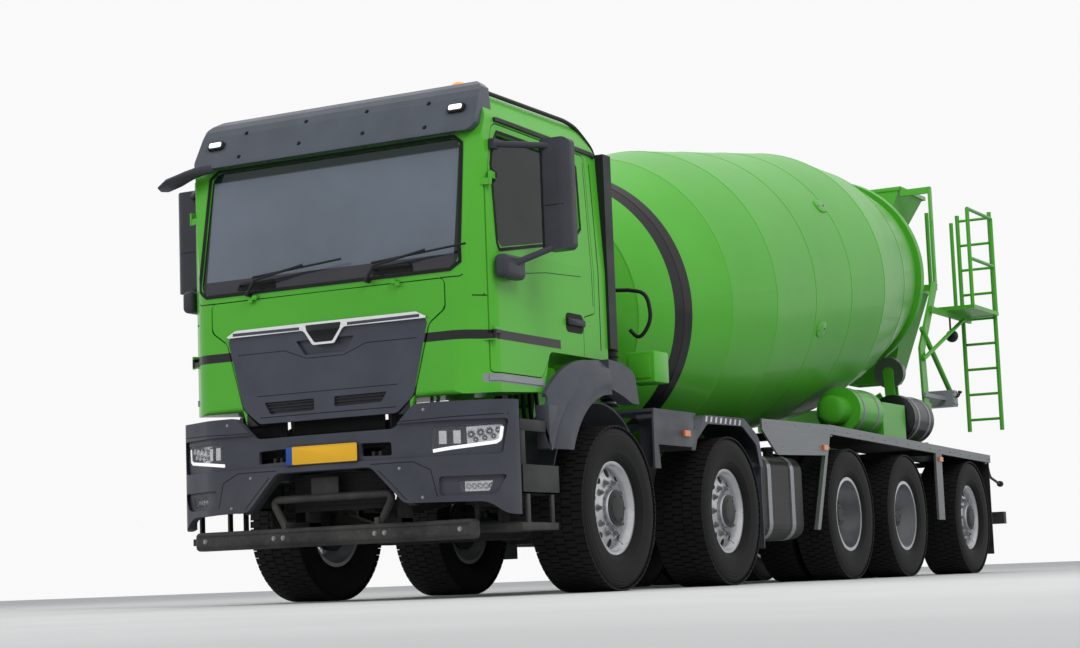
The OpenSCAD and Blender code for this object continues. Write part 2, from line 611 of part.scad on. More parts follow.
// Bins: [half width, length] at the top, height and middle of the top, then the same at the foot
hopper_bin = [[560, 760], hopper_top_z, mouth_y + 480, [240, 300], mouth_z + 60, mouth_y + 220];
funnel_bin = [[620, 620], mouth_z - 150, mouth_y + 360, [230, 300], funnel_low_z, swivel_y - 40];
module open_bin(b) difference() {
    bin(b[0], b[1], b[2], b[3], b[4], b[5]);
    bin(b[0] - 2 * [plate_t, 2 * plate_t], b[1] + 1, b[2], b[3] - 2 * [plate_t, 2 * plate_t], b[4] - 1, b[5]);
}
module hopper() on_truck() color(GREEN) {
    open_bin(hopper_bin);
    open_bin(funnel_bin);
}
// Tapered bin between two rectangles: sizes [x, y] at heights z1 and z0
module bin(top, z1, y1, low, z0, y0) hull() {
    translate([-top[0], y1 - top[1] / 2, z1 - 1]) cube([2 * top[0], top[1], 1]);
    translate([-low[0], y0 - low[1] / 2, z0]) cube([2 * low[0], low[1], 1]);
}

// Ladder, platform and rails at the left rear
platform_z = 2650;
ladder_in = 790;
ladder_out = 1130;
module ladder_platform() on_truck() color(GREEN) {
    block([720, rear_y - 900, platform_z - 40], [1180, rear_y - 60, platform_z]);
    for (x = [ladder_in, ladder_out]) bar([x, rear_y - 22, 1440], [x, rear_y - 22, 3700], 22);
    for (k = [0:8]) bar([ladder_in, rear_y - 22, 1560 + k * 260], [ladder_out, rear_y - 22, 1560 + k * 260], 14);
    for (x = [740, 1160]) {
        bar([x, rear_y - 880, platform_z - 1], [x, rear_y - 880, 3620], 20);
        bar([x, rear_y - 80, platform_z - 1], [x, rear_y - 80, 3620], 20);
    }
    for (z = [3120, 3620]) bar([1160, rear_y - 880, z], [1160, rear_y - 80, z], 18);
    for (x = [ladder_in, ladder_out]) bar([x, rear_y - 90, platform_z - 20], [x, rear_y - 22, platform_z - 20], 16);
    // bearer to the rear stand's leg
    block([leg_out + seat, ring_y + 400, platform_z - 100], [leg_out + 30, rear_y - 100, platform_z - 39]);
    bar([leg_out + 22, ring_y + 60, 2060], [leg_out + 22, rear_y - 350, platform_z - 80], 20);
}

// Tanks over the left mudguard: [front, rear, radius]
tank_x = 905;
tank_z = 1440;
green_tank = [5010, 5600, 200];
tank_sump = [4830, 5010, 122];
black_tank = [6400, 6950, 215];
// Arm over the mudguard from a post on the frame, its top at z
module cradle(y, z) {
    block([frame_w / 2 - 60, y, frame_top + seat], [frame_w / 2 - 10, y + 50, z - 10]);
    block([frame_w / 2 - 60, y, z - 35], [1080, y + 50, z - seat]);
}
module lying(t) translate([tank_x, t[0], tank_z]) rotate([-90, 0, 0]) cylinder(r = t[2], h = t[1] - t[0]);
module water_tanks() on_truck() {
    color(GREEN) {
        lying(green_tank);
        lying(tank_sump);
        for (y = [5080, 5480]) cradle(y, tank_z - green_tank[2]);
    }
    color(BLACK) lying(black_tank);
    color(GREEN) {
        block([760, 5700, tank_z - black_tank[2] - 1], [1060, 6300, 1540]);
        for (y = [5780, 6180, 6480, 6820]) cradle(y, tank_z - black_tank[2]);
    }
}
module control_box() on_truck() color("gray") {
    block([700, ring_y + 700, 1640], [960, ring_y + 860, 1800]);
    block([leg_out + seat, ring_y + 60, 1700], [leg_out + 24, ring_y + 701, 1740]);
}
module rear_bar() on_truck() color(BLACK) {
    block([-1180, rear_y - 330, 480], [1180, rear_y - 250, 600]);
    mirrored() block([330, rear_y - 420, 480], [370, rear_y - 330, rail_z + 40]);
}
module marker_lamps() on_truck() color("orange") mirrored()
    for (y = [1020, guard_front_y - 160, axle_y[3] + 940]) block([side_x + seat, y, 1030], [side_x + 16, y + 90, 1070]);

// Cab

// Side view: [along, up, corner radius]
cab_side = [[-1430, 1200, 30], [-700, 1240, 20], [-610, cab_floor_z, 60], [200, cab_floor_z, 20], [200, 2860, 60],
    [60, roof_z, 160], [-1150, roof_z, 200], [-1300, 2790, 60], [-1430, 1940, 60]];
// Front view, right half: [across, up, corner radius]
cab_front = both_sides([[cab_w / 2, 1100, 0], [cab_w / 2, 2080, 200], [cab_w / 2 - 45, 2900, 120],
    [cab_w / 2 - 150, roof_z, 180]]);
// Plan: [across, along, corner radius]
cab_plan = [[-cab_w / 2, 300, 0], [-cab_w / 2, -1250, 60], [-960, -1430, 180], [0, -1445, 2500],
    [960, -1430, 180], [cab_w / 2, -1250, 60], [cab_w / 2, 300, 0]];
module cab_solid(d) intersection() {
    across(4000) polygon(outline(cab_side, d));
    along(-2000, 1000) polygon(outline(cab_front, d));
    linear_extrude(4000) polygon(outline(cab_plan, d));
}

// The space inside walls of thickness d, seen from the front and from above
module inside_walls(d) intersection() {
    along(-2000, 1000) polygon(outline(cab_front, d));
    linear_extrude(4000) polygon(outline(cab_plan, d));
}
// Room for a door in the side wall, with a gap round it
module door_zone(gap) difference() {
    side_prism(door_rows, -gap);
    inside_walls(cab_wall + gap);
}
// Door outline: [along, up, corner radius]
door_rows = [[-1290, 1330, 20], [-720, 1330, 60], [-600, 1480, 60], [-140, 1490, 40], [-140, 1760, 40],
    [30, 1800, 30], [30, 2840, 40], [-1180, 2860, 80], [-1290, 2480, 100]];
window_rows = [[-1215, 2085, 50], [-420, 2220, 150], [-120, 2310, 60], [-110, 2790, 60],
    [-1140, 2800, 60], [-1215, 2600, 50]];
screen_rows = both_sides([[955, 1960, 70], [930, 2770, 70]]);
module side_prism(rows, d) translate([cab_w / 2 + 100 - 200, 0, 0]) across(600) polygon(outline(rows, d));
module cab_shell() on_truck() color(GREEN) {
    difference() {
        cab_solid(0);
        cab_solid(cab_wall);
        mirrored() door_zone(door_gap);
        along(-2000, -1000) polygon(outline(screen_rows));
        // recess in the nose behind the front flap
        front_recess();
    }
    mirrored() {
        pivot_arm();
        door_hinge(-1);
        flap_hinge(1);
    }
}
// Arm from the cab's floor down to the tilting pivot, leaning back clear of the bumper
module pivot_arm() translate([pivot_x, 0, 0]) across(pivot_w) difference() {
    union() {
        translate([pivot_y, tilt_z]) {
            circle(r = 32);
            polygon([[0, 28], [15, -28], [205, 90], [225, 365], [115, 365], [140, 120]]);
        }
    }
    translate([pivot_y, tilt_z]) circle(r = pivot_pin_r + seat);
}
// Door hinges: the cab's knuckles (end -1) stand under the door's (end 1)
hinge_x = cab_w / 2;
hinge_y = -1290;
hinge_h = 40;
module door_hinge(end) for (z = [1560, 2500]) translate([0, 0, z]) {
    lean = max(0, z - 2080) * 45 / 820;
    low = end < 0 ? -hinge_h - seat / 2 : seat / 2;
    translate([hinge_x, hinge_y, low]) cylinder(r = 11, h = hinge_h);
    if (end < 0) translate([0, 0, low]) linear_extrude(hinge_h) polygon([[hinge_x - 8, hinge_y - 8],
        [hinge_x + 8, hinge_y - 8], [hinge_x, hinge_y - 2], [hinge_x - 60 - lean, hinge_y - 20],
        [hinge_x - 66 - lean, hinge_y - 34]]);
    else translate([0, 0, low]) linear_extrude(hinge_h) polygon([[hinge_x - 10, hinge_y],
        [hinge_x + 10, hinge_y], [hinge_x + 8, hinge_y + 70], [hinge_x - 12 - lean, hinge_y + 90],
        [hinge_x - 30 - lean, hinge_y + 40]]);
}
// Front flap, hinged at its top: upper panel, grille and strip. [across, up, corner radius]
flap_low = 1115;
flap_top = 1900;
flap_t = 34;
flap_rows = both_sides([[600, flap_low, 40], [745, 1640, 50], [860, 1720, 40], [860, flap_top, 40]]);
grille_rows = [[-600, flap_low, 40], [600, flap_low, 40], [735, 1690, 30], [0, 1605, 300], [-735, 1690, 30]];
strip_rows = [[0, 1540, 300], [722, 1625, 8], [735, 1690, 8], [0, 1605, 300], [-735, 1690, 8], [-722, 1625, 8]];
// Knuckles of the flap's hinge: the cab's (end 1) beside the flap's (end -1)
flap_axis_y = -1454;
flap_axis_z = 1903;
module flap_hinge(end) {
    x = end > 0 ? 500 : 530 + seat;
    translate([x, flap_axis_y, flap_axis_z]) rotate([0, 90, 0]) cylinder(r = 6, h = 30);
    block([x, flap_axis_y - 4, end > 0 ? flap_axis_z : flap_axis_z - 22],
        [x + 30, -1420, end > 0 ? flap_axis_z + 22 : flap_axis_z]);
}
// A skin that follows the nose in plan, between two insets
module nose_skin(from, to) translate([0, 0, 1000]) linear_extrude(940) difference() {
    polygon(outline(cab_plan, from));
    polygon(outline([for (r = cab_plan) [r[0], r[1] + (r[1] > 0 ? 100 : 0), r[2]]], to));
}
module seen_from_front(rows, d) along(-1800, -1300) polygon(outline(rows, d));
module front_recess() along(-1800, -1430 + flap_t + 6) polygon(outline(flap_rows, -door_gap));
module front_panel() on_truck() color(GREEN) {
    difference() {
        intersection() {
            nose_skin(0, flap_t);
            seen_from_front(flap_rows, 0);
        }
        seen_from_front(grille_rows, -seat);
    }
    mirrored() flap_hinge(-1);
}
module grille() on_truck() color(BLACK) intersection() {
    nose_skin(0, flap_t);
    seen_from_front(grille_rows, 0);
}
module chrome_strip() on_truck() color("gainsboro") intersection() {
    nose_skin(-14, -seat);
    seen_from_front(strip_rows, 0);
}
module windscreen() on_truck() color("lightsteelblue") intersection() {
    difference() {
        cab_solid(10);
        cab_solid(10 + glass_t);
    }
    along(-2000, -1000) polygon(outline(screen_rows, seat));
}
module wipers() on_truck() color(BLACK) difference() {
    for (x = [-560, 330]) {
        bar([x, -1475, 1935], [x, -1420, 1935], 13);
        bar([x, -1470, 1935], [x + 60, -1470, 2020], 10);
        bar([x + 60, -1470, 2020], [x + 420, -1462, 2080], 8);
        bar([x + 40, -1461, 2040], [x + 700, -1452, 2090], 7);
    }
    cab_solid(-seat);
}
module roof_visor() on_truck() color(DARK) intersection() {
    difference() {
        cab_solid(-60);
        cab_solid(-seat);
    }
    along(-2000, -1120) polygon(outline(both_sides([[1060, 2800, 60], [1030, 3160, 60]])));
}
module roof_lamps() on_truck() color("orange") translate([700, -900, roof_z + seat])
    cylinder(r = 60, h = 110);
module intake_pipe() on_truck() color(BLACK)
    translate([cab_w / 2 - 90, 200 + seat, 0]) block([0, 0, 1580], [110, 110, 2880]);
// Half width of the dashboard, clear of the doors' inner front corners as they swing
dash_half_w = 994;
module dashboard() on_truck() color(DARK) {
    intersection() {
        cab_solid(cab_wall + seat);
        across(2 * dash_half_w) polygon(outline([[-1500, 1560, 0], [-980, 1500, 40], [-960, 1850, 60], [-1300, 1930, 40],
            [-1500, 1930, 0]]));
    }
    bar([560, -1000, 1700], [560, -860, 1900], 30);
    translate([560, -860, 1900]) rotate([-35, 0, 0]) {
        rotate_extrude() translate([215, 0]) circle(r = 16);
        for (a = [90, 210, 330]) rotate([0, 0, a]) block([0, -18, -6], [210, 18, 6]);
    }
}
module seats() on_truck() color(BLACK) mirrored() translate([560, 0, 0]) {
    block([-240, -560, cab_floor_z + cab_wall + seat], [240, -60, 1720]);
    block([-230, -200, 1700], [230, -60, 2330]);
    block([-140, -170, 2320], [140, -80, 2480]);
}
module door(side) on_truck() on_side(side) color(GREEN) {
    difference() {
        intersection() {
            cab_solid(0);
            door_zone(0);
        }
        side_prism(window_rows, 0);
    }
    door_hinge(1);
}
module door_glass(side) on_truck() on_side(side) color("lightsteelblue") intersection() {
    difference() {
        cab_solid(25);
        cab_solid(25 + glass_t);
    }
    side_prism(window_rows, seat);
}
// Door mirror: housing seen from the front and from above, foot on the door and two arms
mirror_front = [[1290, 2070, 40], [1490, 2070, 40], [1490, 2760, 40], [1290, 2760, 40]];
mirror_plan = [[1290, -880, 8], [1290, -990, 30], [1490, -990, 60], [1490, -880, 8]];
module door_mirror(side) on_truck() on_side(side) color(BLACK) {
    intersection() {
        along(-1000, -870) polygon(outline(mirror_front));
        linear_extrude(4000) polygon(outline(mirror_plan));
    }
    block([cab_w / 2 + seat, -1260, 1915], [cab_w / 2 + 75, -1060, 2005]);
    bar([1160, -1200, 1962], [1392, -935, 2105], 20);
    block([cab_w / 2 - 31, -1240, 2690], [cab_w / 2 + 8, -1178, 2750]);
    bar([cab_w / 2 - 10, -1206, 2721], [1396, -935, 2716], 20);
}

// Chute

chute_out = 130;
chute_slope = 28;
trunnion_r = 14;
ear_in = chute_r + 14;
module chute_arm() on_truck() color(GREEN) translate([0, swivel_y, 0]) difference() {
    union() {
        translate([0, 0, frame_top + 60]) cylinder(r = swivel_r, h = 400);
        translate([0, 0, socket_top + seat]) cylinder(r = swivel_r + 25, h = chute_hinge_z - chute_r - 120 - socket_top);
        block([-chute_out - 50, -ear_in - 16, chute_hinge_z - chute_r - 140],
            [60, ear_in + 16, chute_hinge_z - chute_r - 110]);
        for (y = [-ear_in - 16, ear_in]) block([-chute_out - 45, y, chute_hinge_z - chute_r - 141],
            [-chute_out + 45, y + 16, chute_hinge_z + 45]);
    }
    translate([-chute_out, 0, chute_hinge_z]) rotate([90, 0, 0])
        cylinder(r = trunnion_r + seat, h = 3 * chute_r, center = true);
}
module chute() on_truck() color(GREEN) translate([-chute_out, swivel_y, chute_hinge_z])
    rotate([0, -chute_slope, 0]) {
        translate([270 - chute_len, 0, 0]) rotate([0, 90, 0]) difference() {
            cylinder(r = chute_r, h = chute_len);
            translate([0, 0, -1]) cylinder(r = chute_r - plate_t, h = chute_len + 2);
            translate([-chute_r - 1, -chute_r - 1, -1]) cube([chute_r + 1, 2 * chute_r + 2, chute_len + 2]);
        }
        for (s = [-1, 1]) translate([0, s * (chute_r - 3), 0]) rotate([-90 * s, 0, 0])
            cylinder(r = trunnion_r, h = 33);
        for (s = [-1, 1]) block([-45, s > 0 ? chute_r - 3 : -chute_r - 5, -60], [45, s > 0 ? chute_r + 5 : -chute_r + 3, 16]);
    }

on_truck() frame();
axle_beams();
leaf_springs();
power_unit();
bumper();
headlamps();
number_plate();
underrun_bar();
entry_steps();
front_fenders();
fuel_tank();
side_boxes();
rear_mudguards();
front_stand();
drum_drive();
rear_stand();
hopper();
ladder_platform();
water_tanks();
control_box();
rear_bar();
marker_lamps();
cab_shell();
roof_visor();
windscreen();
wipers();
roof_lamps();
intake_pipe();
dashboard();
seats();
front_panel();
grille();
chrome_strip();
door(1);  // door_left
door(-1);  // door_right
door_glass(1);  // door_glass_left
door_glass(-1);  // door_glass_right
door_mirror(1);  // mirror_left
door_mirror(-1);  // mirror_right
drum();
roller(1);  // roller_left
roller(-1);  // roller_right
knuckle(1, 1);  // knuckle_1_left
knuckle(1, -1);  // knuckle_1_right
knuckle(2, 1);  // knuckle_2_left
knuckle(2, -1);  // knuckle_2_right
knuckle(5, 1);  // knuckle_5_left
knuckle(5, -1);  // knuckle_5_right
wheel_on(1, 1);  // wheel_1_left
wheel_on(1, -1);  // wheel_1_right
wheel_on(2, 1);  // wheel_2_left
wheel_on(2, -1);  // wheel_2_right
wheel_on(3, 1);  // wheel_3_left
wheel_on(3, -1);  // wheel_3_right
wheel_on(4, 1);  // wheel_4_left
wheel_on(4, -1);  // wheel_4_right
wheel_on(5, 1);  // wheel_5_left
wheel_on(5, -1);  // wheel_5_right
chute_arm();
chute();
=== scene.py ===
from math import cos, pi, radians, sin

import bmesh
import bpy
from mathutils import Matrix, Vector
from mathutils.bvhtree import BVHTree


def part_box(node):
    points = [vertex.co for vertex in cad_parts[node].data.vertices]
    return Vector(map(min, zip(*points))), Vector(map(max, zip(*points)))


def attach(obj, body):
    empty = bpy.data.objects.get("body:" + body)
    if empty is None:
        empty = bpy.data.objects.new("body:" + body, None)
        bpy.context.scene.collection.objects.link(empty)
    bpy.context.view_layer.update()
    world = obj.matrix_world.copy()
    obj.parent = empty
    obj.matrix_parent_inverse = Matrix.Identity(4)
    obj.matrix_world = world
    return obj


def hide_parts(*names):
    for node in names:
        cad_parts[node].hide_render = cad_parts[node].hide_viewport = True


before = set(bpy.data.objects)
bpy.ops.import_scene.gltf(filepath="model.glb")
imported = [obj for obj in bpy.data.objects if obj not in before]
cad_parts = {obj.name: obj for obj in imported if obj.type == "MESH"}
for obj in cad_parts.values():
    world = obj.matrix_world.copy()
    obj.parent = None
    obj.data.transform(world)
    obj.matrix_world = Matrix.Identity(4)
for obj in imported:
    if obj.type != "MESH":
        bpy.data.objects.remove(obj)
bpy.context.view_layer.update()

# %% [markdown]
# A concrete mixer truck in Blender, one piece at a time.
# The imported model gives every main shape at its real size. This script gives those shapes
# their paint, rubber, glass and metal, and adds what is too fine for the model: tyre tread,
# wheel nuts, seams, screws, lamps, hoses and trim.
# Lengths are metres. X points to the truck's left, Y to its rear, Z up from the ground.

MIDDLE_Y = 3.820                                  # from the front axle back to the middle
AXLES = [0.0, 1.795, 4.235, 5.635, 7.520]         # behind the front axle
TWIN_AXLES = (2, 3)
HUB_Z = 0.530
SINGLE_X, TWIN_X, TWIN_PITCH = 1.0725, 0.940, 0.350
SIDE_X = 1.260                                    # face of the mudguards
DRUM_FOOT = Vector((0, 1.100 - MIDDLE_Y, 1.972))  # middle of the drum's front plate
DRUM_TILT = radians(8.7)
DRUM_AXIS = Vector((0, cos(DRUM_TILT), sin(DRUM_TILT)))
LEFT, BACK, UP = Vector((1, 0, 0)), Vector((0, 1, 0)), Vector((0, 0, 1))
SIDES = (("left", 1), ("right", -1))
FACING_FRONT = Matrix.Rotation(pi / 2, 4, "X")    # turns a flat shape so that its Z points that way
FACING_LEFT = Matrix.Rotation(pi / 2, 4, "Z") @ FACING_FRONT
FACING_REAR = Matrix.Rotation(pi, 4, "Z") @ FACING_FRONT
ALONG_X = Matrix.Rotation(pi / 2, 4, "Y")


def place(x, y, z):
    """A point given from the front axle, in the model's own frame."""
    return Vector((x, y - MIDDLE_Y, z))


# %% [markdown]
# The camera comes first, because everything after is judged through it.
# It stands near the ground ahead of the truck's left corner and looks a little upwards, with
# the small sideways lean that a hand-held camera has. A lens is a length in millimetres over a
# sensor 36 mm wide, so a picture 1080 pixels wide turns a focal length in pixels into 70.6 mm.

# %% Camera
PHOTO_WIDTH = 1080
FOCAL_PX = 2118.4
EYE = place(7.311, -12.186, 0.090)
TURN, RISE, LEAN = radians(28.376), radians(6.884), radians(-2.139)

look = Vector((-sin(TURN) * cos(RISE), cos(TURN) * cos(RISE), sin(RISE)))
right = look.cross(UP).normalized()
up = right.cross(look)
leaned_right = cos(LEAN) * right + sin(LEAN) * up
leaned_up = cos(LEAN) * up - sin(LEAN) * right
camera_data = bpy.data.cameras.new("camera")
camera_data.sensor_width = 36
camera_data.lens = FOCAL_PX / PHOTO_WIDTH * camera_data.sensor_width
camera_data.clip_end = 200
camera = bpy.data.objects.new("camera", camera_data)
turned_eye = Matrix((leaned_right, leaned_up, -look)).transposed().to_4x4()
camera.matrix_world = Matrix.Translation(EYE) @ turned_eye
bpy.context.scene.collection.objects.link(camera)
bpy.context.scene.camera = camera
print("lens", round(camera_data.lens, 2), "mm")

# %% [markdown]
# Materials are sums of nodes, and sums are easier to read as Python than as wires.
# `Wire` holds one socket. Adding or multiplying wires adds the Math node for it, and `node`
# makes any other node from its type, its settings and its inputs.

# %% Shader sums
class Wire:
    """A node's output socket that can stand in a Python sum."""

    def __init__(self, socket):
        self.socket = socket

    def node(self, kind, settings=None, inputs=None, output=0):
        tree = self.socket.id_data
        made = tree.nodes.new(kind)
        for key, value in (settings or {}).items():
            setattr(made, key, value)
        for key, value in (inputs or {}).items():
            if isinstance(value, Wire):
                tree.links.new(value.socket, made.inputs[key])
            else:
                made.inputs[key].default_value = value
        return Wire(made.outputs[output])

    def math(self, operation, a, b=0.0):
        return self.node("ShaderNodeMath", {"operation": operation}, {0: a, 1: b})

    def __add__(self, other):
        return self.math("ADD", self, other)

    def __radd__(self, other):
        return self.math("ADD", other, self)

    def __sub__(self, other):
        return self.math("SUBTRACT", self, other)

    def __rsub__(self, other):
        return self.math("SUBTRACT", other, self)

    def __mul__(self, other):
        return self.math("MULTIPLY", self, other)

    def __rmul__(self, other):
        return self.math("MULTIPLY", other, self)

    def __pow__(self, other):
        return self.math("POWER", self, other)

    def sine(self):
        return self.math("SINE", self)

    def size(self):
        return self.math("ABSOLUTE", self)

    def most(self, other):
        return self.math("MAXIMUM", self, other)

    def rise(self, start, end):
        """0 below start, 1 above end, and a straight ramp between."""
        return self.node("ShaderNodeMapRange", {}, {0: self, 1: start, 2: end, 3: 0.0, 4: 1.0})

    def band(self, start, end, edge=0.002):
        """1 between start and end, 0 outside."""
        return self.rise(start - edge, start) * (1 - self.rise(end, end + edge))

    def part(self, axis):
        return self.node("ShaderNodeSeparateXYZ", {}, {0: self}, "XYZ".index(axis))

    def within(self, x=None, y=None, z=None):
        """1 inside ranges of distance from the middle, distance from the front axle and height."""
        measures = ((self.part("X").size(), x), (self.part("Y") + MIDDLE_Y, y), (self.part("Z"), z))
        masks = [wire.band(*span) for wire, span in measures if span]
        total = masks[0]
        for mask in masks[1:]:
            total = total * mask
        return total

    def along(self, direction, start):
        """Distance along a direction from a start point, of a position."""
        shifted = self.node("ShaderNodeVectorMath", {"operation": "SUBTRACT"}, {0: self, 1: start})
        return shifted.node("ShaderNodeVectorMath", {"operation": "DOT_PRODUCT"},
                            {0: shifted, 1: direction}, "Value")

    def noise(self, scale, detail=4.0, rough=0.55):
        return self.node("ShaderNodeTexNoise", {}, {"Vector": self, "Scale": scale, "Detail": detail,
                                                    "Roughness": rough})

    def blend(self, a, b):
        """Colour a where this is 0, colour b where it is 1."""
        return self.node("ShaderNodeMix", {"data_type": "RGBA"}, {0: self, 6: a, 7: b}, 2)


def colour(red, green, blue):
    return (red, green, blue, 1.0)


def shade(tone, share):
    return tuple(share * part for part in tone[:3]) + (1.0,)


def new_material(name):
    """A material, its Principled shader and its Object coordinates as a wire."""
    material = bpy.data.materials.new(name)
    material.use_nodes = True
    tree = material.node_tree
    shader = tree.nodes["Principled BSDF"]
    where = Wire(tree.nodes.new("ShaderNodeTexCoord").outputs["Object"])
    return material, shader, where


def plug(shader, **values):
    """Sets the shader's sockets, named with _ for a space, to numbers, colours or wires."""
    for key, value in values.items():
        socket = shader.inputs[key.replace("_", " ")]
        if isinstance(value, Wire):
            shader.id_data.links.new(value.socket, socket)
        else:
            socket.default_value = value


def bumped(where, height, distance, strength=1.0):
    return where.node("ShaderNodeBump", {}, {"Height": height, "Distance": distance,
                                             "Strength": strength})


print("shader sums ready")

# %% [markdown]
# Road dust is the same on every finish, so it is one function. It is thickest near the ground,
# comes in patches, and makes what it lies on paler and rougher.

# %% Dust
DUST = colour(0.20, 0.19, 0.17)


def dust_on(where, most, low=0.25, high=1.30):
    patches = where.noise(2.3, 6.0, 0.65).rise(0.35, 0.75)
    specks = where.noise(38.0, 3.0, 0.6).rise(0.55, 0.80)
    return (1 - where.part("Z").rise(low, high)) * (patches * 0.8 + specks * 0.35) * most


# %% [markdown]
# The bodywork is two-layer paint: a colour under clear lacquer. Principled's coat gives the
# lacquer. Large soft noise shifts the colour a little, as panels sprayed on different days do,
# and a very fine bump gives the lacquer its orange-peel surface. Masked parts, such as a black
# stripe, are sprayed over the colour: each is a box or band in the truck's own measures.

# %% Painted bodywork
GREEN, GREEN_DEEP = colour(0.078, 0.400, 0.026), colour(0.064, 0.350, 0.020)
BLACK = colour(0.008, 0.008, 0.009)
SILL_GREY = colour(0.24, 0.25, 0.26)


def paint(name, light, deep, gloss=0.34, lacquer=0.22, dust=0.2, masks=()):
    material, shader, where = new_material(name)
    skin = where.noise(0.9, 3.0).rise(0.3, 0.7).blend(light, deep)
    for mask, tone in masks:
        skin = mask(where).blend(skin, tone)
    dirt = dust_on(where, dust)
    plug(shader, Base_Color=dirt.blend(skin, DUST),
         Roughness=gloss + dirt * 0.5 + where.noise(6.0) * 0.06, Coat_Weight=lacquer * (1 - dirt),
         Coat_Roughness=0.10, Specular_IOR_Level=0.22,
         Normal=bumped(where, where.noise(160.0, 2.0), 0.0004, 0.35))
    return material


def cab_line(where):
    return where.within(y=(-2.0, -0.460), z=(1.528, 1.582))


def cab_sill(where):
    return where.within(x=(1.05, 1.3), y=(-1.330, -0.690), z=(1.270, 1.320))


def tilting_arms(where):
    return where.within(x=(0.0, 0.6), z=(0.0, 1.215))


def large_tank(where):
    return where.within(y=(6.399, 6.951), z=(1.225, 1.70))


def drum_stripe(where):
    return where.along(DRUM_AXIS, DRUM_FOOT).band(0.46, 0.655)


green_paint = paint("green_paint", GREEN, GREEN_DEEP)
cab_paint = paint("cab_paint", GREEN, GREEN_DEEP,
                  masks=[(cab_line, BLACK), (cab_sill, SILL_GREY), (tilting_arms, BLACK)])
drum_paint = paint("drum_paint", GREEN, GREEN_DEEP, gloss=0.36, lacquer=0.16, dust=0.05,
                   masks=[(drum_stripe, BLACK)])
tank_paint = paint("tank_paint", GREEN, GREEN_DEEP, masks=[(large_tank, BLACK)])
chassis_paint = paint("chassis_paint", colour(0.013, 0.013, 0.015), colour(0.019, 0.019, 0.020),
                      gloss=0.48, lacquer=0.05, dust=0.5)
black_gloss = paint("black_gloss", colour(0.008, 0.008, 0.009), colour(0.012, 0.012, 0.013))
box_paint = paint("box_paint", colour(0.25, 0.26, 0.28), colour(0.21, 0.22, 0.24), gloss=0.4, lacquer=0.2)

# %% [markdown]
# Moulded plastic has a fine grain: small closed cells pressed into the tool. A Voronoi pattern's
# distance gives such cells, and a shallow bump is enough, since the grain is under a millimetre.

# %% Plastics, rubber and cloth
def moulded(name, tone, grain=420.0, rough=0.5, dust=0.3, worn_to=0.78):
    material, shader, where = new_material(name)
    cells = where.node("ShaderNodeTexVoronoi", {}, {"Vector": where, "Scale": grain})
    dirt = dust_on(where, dust)
    worn = where.noise(4.0, 5.0).rise(0.35, 0.75)
    plug(shader, Base_Color=dirt.blend(worn.blend(tone, shade(tone, worn_to)), DUST),
         Roughness=rough + worn * 0.12 + dirt * 0.3, Specular_IOR_Level=0.25,
         Normal=bumped(where, cells, 0.0003, 0.5))
    return material


bumper_plastic = moulded("bumper_plastic", colour(0.050, 0.054, 0.070), rough=0.38, dust=0.15)
fender_plastic = moulded("fender_plastic", colour(0.060, 0.066, 0.080), rough=0.40, dust=0.2)
grille_plastic = moulded("grille_plastic", colour(0.058, 0.064, 0.082), rough=0.36, dust=0.0)
visor_plastic = moulded("visor_plastic", colour(0.070, 0.082, 0.100), grain=900.0, rough=0.22, dust=0.0)
black_plastic = moulded("black_plastic", colour(0.014, 0.015, 0.017), rough=0.42)
mirror_plastic = moulded("mirror_plastic", colour(0.040, 0.042, 0.052), rough=0.34, dust=0.0)
trim_plastic = moulded("trim_plastic", colour(0.050, 0.050, 0.054), rough=0.6, dust=0.0)
# near-black rubber for joints and seals, and also the painted shade of the sheets behind the bumper and of
# the grab and handle recesses
seam_rubber_and_shade = moulded("seam_rubber_and_shade", colour(0.007, 0.008, 0.008), grain=900.0, rough=0.6, dust=0.1)
hose_rubber = moulded("hose_rubber", colour(0.011, 0.011, 0.012), grain=700.0, rough=0.5)
seat_cloth = moulded("seat_cloth", colour(0.040, 0.042, 0.052), grain=1100.0, rough=0.9, dust=0.0)
white_tape = moulded("white_tape", colour(0.62, 0.63, 0.64), grain=1500.0, rough=0.35, dust=0.2)
plate_yellow = moulded("plate_yellow", colour(0.80, 0.44, 0.025), grain=1500.0, rough=0.4, dust=0.1,
                       worn_to=0.92)
plate_blue = moulded("plate_blue", colour(0.020, 0.070, 0.330), grain=1500.0, rough=0.4, dust=0.1,
                     worn_to=0.92)

# %% [markdown]
# Bare metals differ mostly in roughness. The bright guards are rolled sheet with faint streaks
# along the truck, so their noise is stretched in Y before it is read. Two of the model's pieces
# are sheet metal and black parts in one: a mask in the truck's measures tells them apart.

# %% Metals
def metal(name, tone, rough, streak=(8.0, 0.6, 60.0), dust=0.3, black_where=None):
    material, shader, where = new_material(name)
    stretched = where.node("ShaderNodeMapping", {}, {"Vector": where, "Scale": streak})
    streaks = stretched.noise(3.0, 5.0, 0.6)
    dirt = dust_on(where, dust)
    skin, shine = streaks.rise(0.3, 0.7).blend(tone, shade(tone, 0.86)), 1 - dirt
    if black_where:
        black = black_where(where)
        skin, shine = black.blend(skin, colour(0.012, 0.012, 0.014)), shine * (1 - black)
    plug(shader, Base_Color=dirt.blend(skin, DUST), Metallic=shine, Specular_IOR_Level=0.2,
         Roughness=rough + streaks * 0.14 + dirt * 0.4, Normal=bumped(where, streaks, 0.0004, 0.3))
    return material


def wheel_metal(name, axle_y, dark_r):
    """Wheel metal whose middle, out to dark_r from the axle, is dark."""
    def hub(where):
        across, above = where.part("Y") - (axle_y - MIDDLE_Y), where.part("Z") - HUB_Z
        return 1 - ((across * across + above * above) ** 0.5).rise(dark_r, dark_r + 0.002)
    return metal(name, colour(0.56, 0.57, 0.60), 0.24, (5.0, 5.0, 5.0), 0.5, hub)


